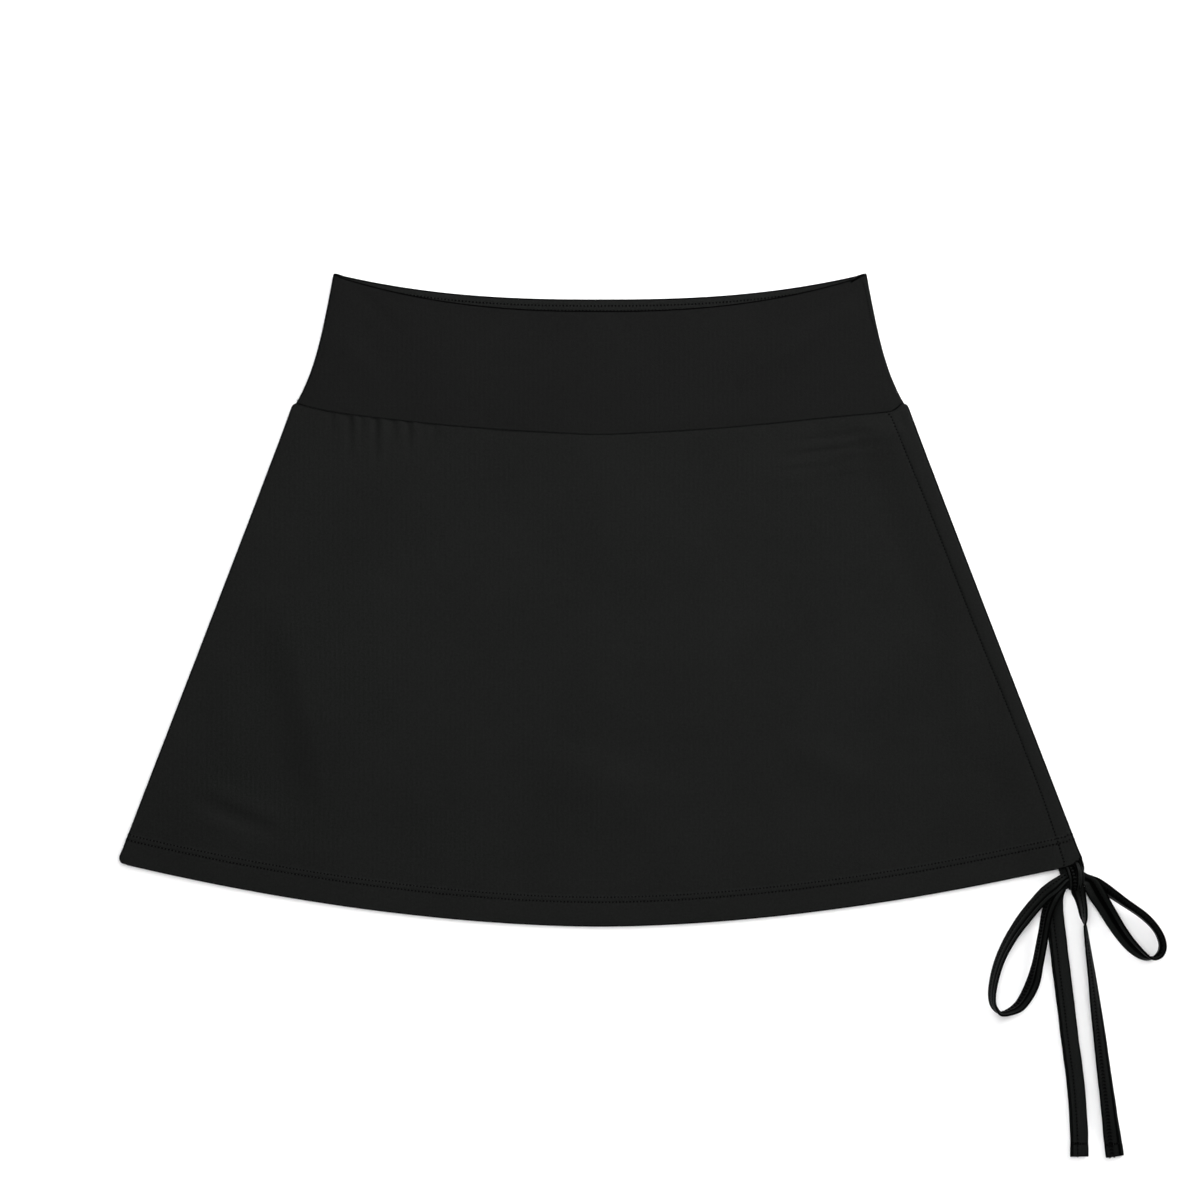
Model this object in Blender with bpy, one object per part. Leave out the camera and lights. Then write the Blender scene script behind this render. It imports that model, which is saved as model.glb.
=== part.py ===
# A-line yoga skirt laid flat, front up: a wide yoke waistband, one panel in front and one behind,
# and a drawstring that runs up and down a channel on one side and is tied in a bow at the hem.
#
# Frame: +Z up, the skirt lies on its back panel on z = 0. +X points to the drawstring's side,
# +Y from the hem to the waist, and the origin is under the middle of the garment's outline.
# Sizes are written in millimetres and become metres where the meshes are made.

import math
from bisect import bisect_right
from collections import namedtuple

import bmesh
import bpy
from mathutils import Vector

# ---------------------------------------------------------------- driving sizes, mm

MM = 0.001
GAP = 0.3                    # space between two sewn pieces

SKIRT_WALL = 1.0             # jersey of the skirt panels
HEM_WALL = 1.3               # where the hem is turned up
HEM_DEPTH = 18.5             # from the hem's edge to the top of the turned-up cloth
YOKE_WALL = 1.6              # the waistband is cut double

BODY_AIR = 1.0               # how far the front panel stands off the back one
YOKE_AIR = 0.3
SIDE_AIR = 1.0

STRAP_WIDTH = 10.2           # drawstring of folded jersey
STRAP_WALL = 1.6
FLOOR_CLEAR = 0.05           # the free straps lie this far above the floor
RUN_WALL = 1.1               # the same strap pressed in its channel
CASING_WALL = 1.0            # strip inside the side seam that makes the two channels

YOKE_FRONT_TOP = 179.2       # heights of the edges on the centre line
YOKE_BACK_TOP = 186.6
FRONT_TOP_RISE = 22.4        # how far they rise to the side seam
BACK_TOP_RISE = 16.0
WAIST_HALF = 165.3
HEM_CENTRE = -202.5
HEM_RISE = 36.3
HEM_RISE_HALF = 285.2        # half-width at which the hem has risen by HEM_RISE

CHANNEL_START = 14.0         # the drawstring's top, below the waist seam
MOUTH_X = 288.3              # the channel's mouth in the hem begins here
MOUTH_PITCH = 0.16           # and the hem's edge is pulled up from here to the side seam

# Side edge of the waistband and of the skirt.
SideRow = namedtuple("SideRow", "y half_width")
YOKE_SIDE = [
    SideRow(121.5, 188.9),
    SideRow(124.0, 187.4),
    SideRow(130.2, 184.2),
    SideRow(142.6, 179.1),
    SideRow(161.2, 173.7),
    SideRow(186.0, 168.4),
    SideRow(202.5, WAIST_HALF),
]
SKIRT_SIDE = [
    SideRow(-164.2, 295.1),
    SideRow(-162.6, 297.5),
    SideRow(-160.0, 298.3),
    SideRow(-155.0, 296.4),
    SideRow(99.2, 198.9),
    SideRow(111.6, 194.3),
    SideRow(117.8, 192.5),
    SideRow(121.9, 190.8),
]

# The waist seam, from one side to the other; it kinks over the drawstring's channel.
SeamRow = namedtuple("SeamRow", "x y")
WAIST_SEAM = [
    SeamRow(-188.9, 121.9),
    SeamRow(-170.5, 117.5),
    SeamRow(-155.0, 115.0),
    SeamRow(-124.0, 111.3),
    SeamRow(-93.0, 108.2),
    SeamRow(-62.0, 105.7),
    SeamRow(-31.0, 103.9),
    SeamRow(0.0, 102.6),
    SeamRow(31.0, 103.9),
    SeamRow(62.0, 105.7),
    SeamRow(93.0, 108.2),
    SeamRow(124.0, 111.3),
    SeamRow(155.0, 114.4),
    SeamRow(179.8, 116.9),
    SeamRow(184.5, 118.6),
    SeamRow(188.9, 121.9),
]

# The channel's stitch line: how far it lies in from the side edge, and how proud the channel stands.
ChannelRow = namedtuple("ChannelRow", "y width puff")
CHANNEL = [
    ChannelRow(-164.0, 11.2, 0.6),
    ChannelRow(-140.0, 9.4, 0.9),
    ChannelRow(-108.0, 8.2, 1.2),
    ChannelRow(-65.0, 8.3, 1.3),
    ChannelRow(-20.0, 9.2, 1.4),
    ChannelRow(50.0, 9.6, 1.3),
    ChannelRow(96.0, 10.6, 0.8),
    ChannelRow(118.0, 11.2, 0.5),
]

# Short gathers that hang from the waist seam.
Gather = namedtuple("Gather", "x length depth")
GATHERS = [
    Gather(-166.8, 12.0, 0.35),
    Gather(-155.6, 24.0, 0.80),
    Gather(-148.2, 11.0, 0.40),
    Gather(-139.2, 29.0, 0.95),
    Gather(-128.3, 12.0, 0.50),
    Gather(-117.8, 22.0, 0.75),
    Gather(-103.2, 11.0, 0.35),
]
GATHER_HALF = 2.6

# Soft folds of the front: ridges have a positive height and troughs a negative one.
Fold = namedtuple("Fold", "x0 y0 x1 y1 half height")
SKIRT_FOLDS = [
    Fold(140.0, 101.0, 188.0, 106.5, 2.6, -0.50),
    Fold(132.0, 92.0, 186.0, 99.0, 2.6, -0.75),
    Fold(128.0, 82.0, 184.0, 91.0, 2.8, -0.65),
    Fold(110.0, 73.0, 176.0, 82.5, 3.2, -0.45),
    Fold(-216.0, -14.0, -186.0, -124.0, 15.0, -0.80),
    Fold(-256.0, -122.0, -196.0, -146.0, 6.0, -0.70),
    Fold(-252.0, -132.0, -200.0, -153.0, 6.0, 0.45),
    Fold(206.0, -28.0, 214.0, -96.0, 15.0, -0.80),
    Fold(96.0, -104.0, 156.0, -140.0, 17.0, -0.60),
    Fold(-60.0, -120.0, 40.0, -150.0, 22.0, -0.45),
    Fold(-40.0, 60.0, 110.0, 30.0, 40.0, 0.70),
    Fold(40.0, 30.0, 60.0, -90.0, 45.0, 0.55),
    Fold(-130.0, 40.0, -160.0, -60.0, 24.0, 0.45),
]
YOKE_FOLDS = [
    Fold(-10.0, 172.0, -96.0, 116.0, 14.0, -0.55),
    Fold(-40.0, 176.0, -120.0, 124.0, 9.0, 0.50),
    Fold(162.0, 196.0, 118.0, 160.0, 6.0, -0.50),
    Fold(160.0, 186.0, 96.0, 150.0, 6.5, 0.50),
    Fold(156.0, 176.0, 84.0, 138.0, 8.0, -0.40),
    Fold(-160.0, 196.0, -128.0, 170.0, 6.0, -0.40),
    Fold(-168.0, 170.0, -132.0, 128.0, 8.0, 0.40),
]

# Routes of the drawstring's free ends and loops: bank is the strap's tilt about its own
# route in degrees, 0 flat and 90 on its edge, and lift is its lower edge above the floor.
# The strap is squeezed to a smaller width where the knot holds it.
StrapRow = namedtuple("StrapRow", "x y bank lift width", defaults=(STRAP_WIDTH,))
LOOP_LEFT = [
    StrapRow(286.2, -172.9, 24.0, 5.4, 7.0),
    StrapRow(281.2, -177.2, 34.0, 4.6, 9.4),
    StrapRow(274.6, -183.0, 46.0, 2.6),
    StrapRow(262.9, -197.2, 50.0, 0.8),
    StrapRow(254.2, -210.2, 60.0, 0.1),
    StrapRow(247.4, -224.4, 66.0, 0.0),
    StrapRow(243.4, -240.6, 70.0, 0.0),
    StrapRow(243.7, -250.5, 76.0, 0.0),
    StrapRow(247.6, -255.7, 88.0, 0.0),
    StrapRow(253.6, -254.7, 100.0, 0.0),
    StrapRow(260.5, -250.4, 109.0, 0.0),
    StrapRow(268.2, -238.4, 113.0, 0.0),
    StrapRow(272.8, -224.4, 114.0, 0.2),
    StrapRow(275.0, -206.2, 114.0, 1.6),
    StrapRow(275.9, -195.3, 116.0, 2.3),
    StrapRow(278.9, -186.2, 122.0, 2.4),
    StrapRow(282.6, -180.2, 136.0, 2.4, 9.0),
    StrapRow(286.2, -177.2, 150.0, 2.4, 6.4),
]
LOOP_RIGHT = [
    StrapRow(302.9, -174.2, 6.0, 4.4, 6.4),
    StrapRow(304.6, -176.6, 10.0, 4.0, 9.0),
    StrapRow(307.4, -181.4, 20.0, 3.0),
    StrapRow(312.3, -189.2, 30.0, 1.2),
    StrapRow(321.5, -204.0, 43.0, 0.1),
    StrapRow(329.2, -213.9, 50.0, 0.0),
    StrapRow(336.7, -220.7, 66.0, 0.0),
    StrapRow(342.0, -222.4, 88.0, 0.0),
    StrapRow(346.7, -218.8, 102.0, 0.0),
    StrapRow(347.9, -213.0, 106.0, 0.0),
    StrapRow(344.7, -204.9, 108.0, 0.0),
    StrapRow(337.3, -196.2, 111.0, 0.2),
    StrapRow(324.3, -186.9, 112.0, 1.0),
    StrapRow(315.4, -180.6, 122.0, 0.6),
    StrapRow(307.6, -176.0, 146.0, 0.2, 9.0),
    StrapRow(302.3, -173.2, 166.0, 0.2, 6.0),
]
TAIL_LEFT = [
    StrapRow(286.0, -178.6, 8.0, 0.0, 7.0),
    StrapRow(282.8, -183.9, 12.0, 0.0, 9.4),
    StrapRow(281.8, -191.0, 12.0, 0.0),
    StrapRow(282.5, -199.0, 10.0, 0.0),
    StrapRow(283.7, -208.1, 9.0, 0.0),
    StrapRow(285.6, -224.4, 8.0, 0.0),
    StrapRow(288.9, -250.5, 7.0, 0.0),
    StrapRow(291.4, -271.6, 6.0, 0.0),
    StrapRow(295.1, -300.1, 5.0, 0.0),
    StrapRow(297.2, -328.6, 2.0, 0.0),
    StrapRow(297.5, -345.3, 0.0, 0.0),
]
TAIL_RIGHT = [
    StrapRow(296.6, -181.1, 60.0, 0.2, 8.4),
    StrapRow(297.6, -184.6, 67.0, 0.0),
    StrapRow(298.9, -190.3, 79.0, 0.0),
    StrapRow(299.9, -198.6, 90.0, 0.0),
    StrapRow(303.2, -222.0, 101.0, 0.0),
    StrapRow(306.0, -243.0, 109.0, 0.0),
    StrapRow(308.8, -264.7, 128.0, 0.0),
    StrapRow(312.2, -293.3, 143.0, 0.0),
    StrapRow(315.1, -314.3, 161.0, 0.0),
    StrapRow(317.8, -334.2, 175.0, 0.0),
    StrapRow(319.4, -345.3, 180.0, 0.0),
]

# Sections of the knot across X: half-size along Y and height. The dip parts the wrap's two bands.
KnotRow = namedtuple("KnotRow", "x half_y height")
KNOT_MIDDLE_Y = -172.7
KNOT_HALF = 7.4              # half the bands' length
KNOT_BOW = 1.5               # how far the bands' ends lie to the left of their middles
KNOT = [
    KnotRow(287.4, 3.2, 5.6),
    KnotRow(288.0, 5.2, 7.4),
    KnotRow(289.2, 6.4, 8.8),
    KnotRow(291.2, 7.1, 9.6),
    KnotRow(293.4, 7.4, 9.7),
    KnotRow(295.2, 7.0, 9.0),
    KnotRow(296.0, 6.7, 8.4),
    KnotRow(296.8, 7.1, 8.9),
    KnotRow(298.4, 7.2, 8.8),
    KnotRow(299.7, 6.0, 7.4),
    KnotRow(300.3, 3.6, 5.4),
]

CLOTH_BLACK = (0.0123, 0.0137, 0.0130)
YOKE_BLACK = (0.0119, 0.0131, 0.0125)
STRAP_BLACK = (0.0098, 0.0106, 0.0102)


# ---------------------------------------------------------------- curves and surfaces


def hermite(places, values, slopes, place):
    """Value at a place of the cubic curve through the values with the given slopes."""
    place = min(max(place, places[0]), places[-1])
    index = min(bisect_right(places, place) - 1, len(places) - 2)
    run = places[index + 1] - places[index]
    t = (place - places[index]) / run
    start = (1 + 2 * t) * (1 - t) ** 2 * values[index] + t * (1 - t) ** 2 * run * slopes[index]
    end = t * t * (3 - 2 * t) * values[index + 1] + t * t * (t - 1) * run * slopes[index + 1]
    return start + end


def steady_curve(places, values):
    """A curve through the rows of a table that never swings past them."""
    pitches = []
    for index in range(len(places) - 1):
        pitches.append((values[index + 1] - values[index]) / (places[index + 1] - places[index]))
    slopes = [pitches[0]]
    for before, after in zip(pitches, pitches[1:]):
        turning = before * after <= 0
        slopes.append(0.0 if turning else 2 * before * after / (before + after))
    slopes.append(pitches[-1])
    return lambda place: hermite(places, values, slopes, place)


def free_curve(places, values):
    """A curve through the points of a route, free to swing between them."""
    slopes = []
    last = len(places) - 1
    for index in range(len(places)):
        low = max(index - 1, 0)
        high = min(index + 1, last)
        slopes.append((values[high] - values[low]) / (places[high] - places[low]))
    return lambda place: hermite(places, values, slopes, place)


def table_curve(rows, place_name, value_name):
    places = [getattr(row, place_name) for row in rows]
    values = [getattr(row, value_name) for row in rows]
    return steady_curve(places, values)


def smooth_step(low, high, value):
    t = min(max((value - low) / (high - low), 0.0), 1.0)
    return t * t * (3 - 2 * t)


yoke_half = table_curve(YOKE_SIDE, "y", "half_width")
skirt_half = table_curve(SKIRT_SIDE, "y", "half_width")
waist_seam = table_curve(WAIST_SEAM, "x", "y")
channel_width = table_curve(CHANNEL, "y", "width")
channel_puff = table_curve(CHANNEL, "y", "puff")


def front_top_edge(x):
    return YOKE_FRONT_TOP + FRONT_TOP_RISE * (abs(x) / WAIST_HALF) ** 2.4


def back_top_edge(x):
    return YOKE_BACK_TOP + BACK_TOP_RISE * (abs(x) / WAIST_HALF) ** 2.5


def hem_edge(x):
    curve = HEM_CENTRE + HEM_RISE * (abs(x) / HEM_RISE_HALF) ** 1.8
    return curve + MOUTH_PITCH * max(0.0, x - MOUTH_X)


def fold_height(x, y, folds):
    """Height that the soft folds add at a point: each is widest in its middle and dies out at its ends."""
    total = 0.0
    for fold in folds:
        along_x = fold.x1 - fold.x0
        along_y = fold.y1 - fold.y0
        length = math.hypot(along_x, along_y)
        share = ((x - fold.x0) * along_x + (y - fold.y0) * along_y) / length ** 2
        if 0.0 < share < 1.0:
            away = ((x - fold.x0) * along_y - (y - fold.y0) * along_x) / length
            total += fold.height * math.sin(math.pi * share) * math.exp(-(away / fold.half) ** 2)
    return total


def gather_height(x, below):
    """The gathers' troughs under the waist seam, deepest at the seam."""
    total = 0.0
    for gather in GATHERS:
        if below < gather.length:
            fade = (1 - below / gather.length) ** 1.5
            total -= gather.depth * fade * math.exp(-((x - gather.x) / GATHER_HALF) ** 2)
    return total


def hem_wall(above_hem):
    """Wall of a skirt panel by its height above the hem's edge."""
    return SKIRT_WALL + (HEM_WALL - SKIRT_WALL) * smooth_step(HEM_DEPTH + 1.0, HEM_DEPTH - 1.0, above_hem)


def left_round(wall):
    """Radius of the fold at the plain side seam."""
    return (2 * wall + GAP + SIDE_AIR) / 2


def right_round(wall, below_waist):
    """Radius of the fold at the side with the drawstring, from what lies in it."""
    full = (2 * wall + 2 * RUN_WALL + CASING_WALL + 4 * GAP) / 2
    return left_round(wall) + (full - left_round(wall)) * smooth_step(0.0, CHANNEL_START, below_waist)


def skirt_front_height(x, y, from_right, wall, below_waist, above_hem):
    """Outer face of the front skirt panel, without the rounding at its two sides."""
    level = 2 * wall + GAP + BODY_AIR
    level += fold_height(x, y, SKIRT_FOLDS)
    level += gather_height(x, below_waist)
    seam_dip = 0.8 * math.exp(-(below_waist / 2.0) ** 2)
    crest = 2 * right_round(wall, below_waist)
    width = channel_width(y)
    groove = crest - channel_puff(y) * smooth_step(0.0, CHANNEL_START, below_waist)
    if from_right > width:
        slope = 1 - smooth_step(0.0, 30.0, from_right - width)
        height = level + (groove - level) * slope
    else:
        share = max(0.0, (from_right / width - 0.45) / 0.55)
        height = groove + (crest - groove) * math.sqrt(max(0.0, 1 - share ** 2))
    return max(height - seam_dip, 2 * wall + GAP + 0.05)


def yoke_front_height(x, y, above_seam):
    level = 2 * YOKE_WALL + GAP + YOKE_AIR
    level += max(-YOKE_AIR + 0.05, fold_height(x, y, YOKE_FOLDS))
    seam_dip = 0.8 * math.exp(-(above_seam / 2.0) ** 2)
    return max(level - seam_dip, 2 * YOKE_WALL + GAP - 0.7)


# ---------------------------------------------------------------- making meshes


def clear_scene():
    for item in list(bpy.data.objects):
        bpy.data.objects.remove(item, do_unlink=True)


def cloth_material(name, colour, roughness):
    material = bpy.data.materials.new(name)
    material.use_nodes = True
    shader = material.node_tree.nodes["Principled BSDF"]
    shader.inputs["Base Color"].default_value = (*colour, 1.0)
    shader.inputs["Roughness"].default_value = roughness
    shader.inputs["Metallic"].default_value = 0.0
    material.diffuse_color = (*colour, 1.0)
    return material


def finish_mesh(name, work, material):
    """Turn the faces outwards and put the mesh in the scene under its name."""
    bmesh.ops.recalc_face_normals(work, faces=work.faces)
    mesh = bpy.data.meshes.new(name)
    work.to_mesh(mesh)
    work.free()
    mesh.materials.append(material)
    mesh.shade_smooth()
    item = bpy.data.objects.new(name, mesh)
    bpy.context.collection.objects.link(item)
    mesh.set_sharp_from_angle(angle=math.radians(50))
    return item


def make_wall(name, grid, material):
    """A closed wall from rows of (outer point, inner point) pairs."""
    work = bmesh.new()
    faces = []
    for side in (0, 1):
        faces.append([[work.verts.new(Vector(pair[side]) * MM) for pair in row] for row in grid])
    outer, inner = faces
    rows = len(grid)
    columns = len(grid[0])
    for skin in (outer, inner):
        for r in range(rows - 1):
            for c in range(columns - 1):
                work.faces.new((skin[r][c], skin[r][c + 1], skin[r + 1][c + 1], skin[r + 1][c]))
    rim = [(0, c) for c in range(columns)]
    rim += [(r, columns - 1) for r in range(1, rows)]
    rim += [(rows - 1, c) for c in range(columns - 2, -1, -1)]
    rim += [(r, 0) for r in range(rows - 2, 0, -1)]
    for (r0, c0), (r1, c1) in zip(rim, rim[1:] + rim[:1]):
        work.faces.new((outer[r0][c0], inner[r0][c0], inner[r1][c1], outer[r1][c1]))
    return finish_mesh(name, work, material)


def make_loft(name, rings, material):
    """A closed body through rings of points that all have the same count."""
    work = bmesh.new()
    rows = [[work.verts.new(Vector(point) * MM) for point in ring] for ring in rings]
    count = len(rows[0])
    for before, after in zip(rows, rows[1:]):
        for index in range(count):
            follow = (index + 1) % count
            work.faces.new((before[index], before[follow], after[follow], after[index]))
    work.faces.new(rows[0])
    work.faces.new(rows[-1])
    return finish_mesh(name, work, material)


# ---------------------------------------------------------------- panels

# Where the waistbands' columns cross the waist seam; they lie closer where it kinks at the channel.
SIDE_SEAM_Y = 121.9
HEM_CORNER_Y = -164.0
FRONT_SEAM_X = [-180.0 + 15.0 * step for step in range(23)] + [157.6, 171.6, 179.6, 183.4]
BACK_SEAM_X = [-180.0 + 24.0 * step for step in range(14)] + [157.6, 171.6, 179.6, 183.4]

# A column says how a panel's cross lines are placed: on the round of a side, at a share of the
# width, at a distance from a side edge, at a distance beside the channel's stitches or at a
# share of the channel's own width.
Column = namedtuple("Column", "kind amount")
# A row lies at a share of the panel's length below its top edge, plus an offset.
Row = namedtuple("Row", "share offset")


class Panel:
    """Outline of one panel: its side edge and its upper and lower edges, less half a seam gap."""

    def __init__(self, half_width, top_edge, bottom_edge, widest_top, widest_bottom):
        self.half_width = half_width
        self.top_edge = top_edge
        self.bottom_edge = bottom_edge
        self.top_ends = {side: top_edge(side * widest_top) for side in (-1, 1)}
        self.bottom_ends = {side: bottom_edge(side * widest_bottom) for side in (-1, 1)}

    def side_y(self, side, row):
        top = self.top_ends[side]
        length = top - self.bottom_ends[side]
        return top - row.share * length - row.offset

    def column_x(self, column, row):
        left = -self.half_width(self.side_y(-1, row))
        right = self.half_width(self.side_y(1, row))
        width = channel_width(self.side_y(1, row))
        places = {
            "left": left,
            "right": right,
            "share": left + column.amount * (right - left),
            "from_left": left + column.amount,
            "beside": right - width - column.amount,
            "channel": right - column.amount * width,
        }
        return left, right, places[column.kind]

    def place(self, column, row):
        """Where a column crosses a row: x, y and the distances to the edges."""
        top_y = self.top_edge(self.column_x(column, Row(0.0, 0.0))[2])
        bottom_y = self.bottom_edge(self.column_x(column, Row(1.0, 0.0))[2])
        left, right, x = self.column_x(column, row)
        y = top_y - row.share * (top_y - bottom_y) - row.offset
        return x, y, left, right, top_y - y, y - bottom_y


def round_pair(edge_x, side, y, radius, wall, angle, part):
    """Outer and inner point on the round at a side; part is 1 above the side seam and -1 below it."""
    middle_x = edge_x - side * radius
    pair = []
    for reach in (radius, radius - wall):
        seam_angle = math.asin(min(1.0, GAP / 2 / reach))
        turn = max(math.radians(angle), seam_angle)
        pair.append((middle_x + side * reach * math.cos(turn), y, radius + part * reach * math.sin(turn)))
    return pair


def rim_squash(pair, distance, wall, rounding):
    """Thin the wall to a round edge where it is close to a free rim."""
    if distance >= rounding:
        return pair
    share = 0.36 * (1 - distance / rounding)
    (x0, y0, z0), (x1, y1, z1) = pair
    return [
        (x0 + (x1 - x0) * share, y0 + (y1 - y0) * share, z0 + (z1 - z0) * share),
        (x1 + (x0 - x1) * share, y1 + (y0 - y1) * share, z1 + (z0 - z1) * share),
    ]


def skirt_panel():
    return Panel(
        skirt_half,
        lambda x: waist_seam(x) - GAP / 2,
        hem_edge,
        skirt_half(SIDE_SEAM_Y),
        skirt_half(HEM_CORNER_Y),
    )


def skirt_rows(shares):
    rows = [Row(0.0, offset) for offset in (0.0, 1.2, 3.0, 6.0, 9.5, 13.5, 17.5, 21.5, 26.0, 31.0, 37.0)]
    rows += [Row(share, 0.0) for share in shares]
    rows += [Row(1.0, -offset) for offset in (19.5, 17.5, 10.0, 4.0, 0.9, 0.0)]
    return rows


def seam_column(x, half):
    """A column that crosses the waist seam at x, on a panel that is half wide there."""
    return Column("share", (x + half) / (2 * half))


def skirt_columns():
    """Columns of the front: one on each gather and between two, and more beside the channel."""
    half = skirt_half(SIDE_SEAM_Y)
    columns = [Column("left", angle) for angle in (0, 32, 62, 90)]
    columns += [Column("from_left", distance) for distance in (5.0, 11.0)]
    tops = [gather.x for gather in GATHERS]
    tops += [(a + b) / 2 for a, b in zip(tops, tops[1:])]
    tops += [-97.0 + 19.5 * step for step in range(13)]
    columns += [seam_column(x, half) for x in sorted(tops)]
    columns += [Column("beside", distance) for distance in (22.0, 14.0, 8.0, 4.0, 1.2)]
    columns += [Column("channel", share) for share in (1.0, 0.94, 0.84, 0.66)]
    columns += [Column("right", angle) for angle in (90, 62, 32, 0)]
    return columns


def make_skirt_front(material):
    panel = skirt_panel()
    grid = []
    for row in skirt_rows([0.19 + 0.083 * step for step in range(9)]):
        line = []
        for column in skirt_columns():
            x, y, left, right, below, above = panel.place(column, row)
            wall = hem_wall(above)
            if column.kind == "left":
                radius = left_round(wall)
                pair = round_pair(left, -1, y, radius, wall, column.amount, 1)
            elif column.kind == "right":
                radius = right_round(wall, below)
                pair = round_pair(right, 1, y, radius, wall, column.amount, 1)
            else:
                height = skirt_front_height(x, y, right - x, wall, below, above)
                pair = [(x, y, height), (x, y, height - wall)]
            line.append(rim_squash(pair, above, wall, 0.9))
        grid.append(line)
    return make_wall("skirt_front", grid, material)


def make_skirt_back(material):
    panel = skirt_panel()
    columns = [Column("left", angle) for angle in (0, 32, 62, 90)]
    columns += [seam_column(x, skirt_half(SIDE_SEAM_Y)) for x in BACK_SEAM_X]
    columns += [Column("right", angle) for angle in (90, 62, 32, 0)]
    rows = [Row(0.0, 0.0), Row(0.0, CHANNEL_START / 2), Row(0.0, CHANNEL_START)]
    rows += [Row(share, 0.0) for share in (0.25, 0.5, 0.75)]
    rows += [Row(1.0, -offset) for offset in (19.5, 17.5, 4.0, 0.9, 0.0)]
    grid = []
    for row in rows:
        line = []
        for column in columns:
            x, y, left, right, below, above = panel.place(column, row)
            wall = hem_wall(above)
            if column.kind == "left":
                pair = round_pair(left, -1, y, left_round(wall), wall, column.amount, -1)
            elif column.kind == "right":
                pair = round_pair(right, 1, y, right_round(wall, below), wall, column.amount, -1)
            else:
                pair = [(x, y, 0.0), (x, y, wall)]
            line.append(pair)
        grid.append(line)
    return make_wall("skirt_back", grid, material)


def yoke_panel(top_edge):
    return Panel(
        yoke_half,
        top_edge,
        lambda x: waist_seam(x) + GAP / 2,
        WAIST_HALF,
        yoke_half(SIDE_SEAM_Y),
    )


def make_yoke_front(material):
    panel = yoke_panel(front_top_edge)
    radius = left_round(YOKE_WALL) - (SIDE_AIR - YOKE_AIR) / 2
    columns = [Column("left", angle) for angle in (0, 32, 62, 90)]
    columns += [seam_column(x, yoke_half(SIDE_SEAM_Y)) for x in FRONT_SEAM_X]
    columns += [Column("right", angle) for angle in (90, 62, 32, 0)]
    rows = [Row(0.0, 0.0), Row(0.0, 0.9), Row(0.0, 4.0)]
    rows += [Row(share, 0.0) for share in (0.16, 0.28, 0.40, 0.52, 0.64, 0.76, 0.87)]
    rows += [Row(1.0, -offset) for offset in (4.0, 2.2, 1.0, 0.0)]
    grid = []
    for row in rows:
        line = []
        for column in columns:
            x, y, left, right, below, above = panel.place(column, row)
            if column.kind == "share":
                height = yoke_front_height(x, y, above)
                pair = [(x, y, height), (x, y, max(height - YOKE_WALL, YOKE_WALL + GAP))]
            else:
                side = -1 if column.kind == "left" else 1
                edge_x = left if side < 0 else right
                pair = round_pair(edge_x, side, y, radius, YOKE_WALL, column.amount, 1)
            line.append(rim_squash(pair, below, YOKE_WALL, 0.9))
        grid.append(line)
    return make_wall("waistband_front", grid, material)


def make_yoke_back(material):
    panel = yoke_panel(back_top_edge)
    radius = left_round(YOKE_WALL) - (SIDE_AIR - YOKE_AIR) / 2
    columns = [Column("left", angle) for angle in (0, 32, 62, 90)]
    columns += [seam_column(x, yoke_half(SIDE_SEAM_Y)) for x in BACK_SEAM_X]
    columns += [Column("right", angle) for angle in (90, 62, 32, 0)]
    rows = [Row(0.0, 0.0), Row(0.0, 0.9), Row(0.35, 0.0), Row(0.7, 0.0), Row(1.0, 0.0)]
    grid = []
    for row in rows:
        line = []
        for column in columns:
            x, y, left, right, below, above = panel.place(column, row)
            if column.kind == "share":
                inner = YOKE_WALL - 0.5 * (1 - min(below / 0.9, 1.0))
                pair = [(x, y, 0.0), (x, y, inner)]
            else:
                side = -1 if column.kind == "left" else 1
                edge_x = left if side < 0 else right
                pair = round_pair(edge_x, side, y, radius, YOKE_WALL, column.amount, -1)
            line.append(pair)
        grid.append(line)
    return make_wall("waistband_back", grid, material)


# ---------------------------------------------------------------- drawstring


def run_back_low(wall):
    """Underside of the run behind the casing, on the back panel."""
    return wall + GAP


def casing_low(wall):
    return run_back_low(wall) + RUN_WALL + GAP


def run_front_low(wall):
    return casing_low(wall) + CASING_WALL + GAP


def channel_rows(top_offset, bottom_offset, count):
    """Stations down the channel, from its top to the hem."""
    stations = []
    for index in range(count):
        share = index / (count - 1)
        stations.append(Row(share, top_offset * (1 - share) + bottom_offset * share))
    return stations


# Upper left corner of a strip in the channel, as (share of its width, share of its thickness).
SQUARE_CORNER = [(0.0, 0.7), (0.03, 1.0)]
PRESSED_CORNER = [(0.0, 0.25), (0.24, 0.72), (0.60, 1.0)]


def make_channel_piece(name, reach, inset, low, thick, bottom_offset, corner, material):
    """A flat strip in the channel; low gives its underside from the panel's wall there."""
    panel = skirt_panel()
    rings = []
    for row in channel_rows(CHANNEL_START + 2.0, bottom_offset, 18):
        right = panel.half_width(panel.side_y(1, row))
        width = channel_width(panel.side_y(1, row))
        left_x = right - width - reach
        right_x = right - inset
        left_y = panel.place(Column("beside", reach), row)[1]
        right_y = panel.side_y(1, row)
        above = left_y - hem_edge(left_x)
        bottom = low(hem_wall(above))
        soft = 0.3
        ring = [
            (left_x, left_y, bottom),
            (right_x - soft, right_y, bottom),
            (right_x, right_y, bottom + soft),
            (right_x, right_y, bottom + thick - soft),
            (right_x - soft, right_y, bottom + thick),
        ]
        for across, up in reversed(corner):
            x = left_x + (right_x - left_x) * across
            y = left_y + (right_y - left_y) * across
            ring.append((x, y, bottom + thick * up))
        rings.append(ring)
    return make_loft(name, rings, material)


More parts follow.
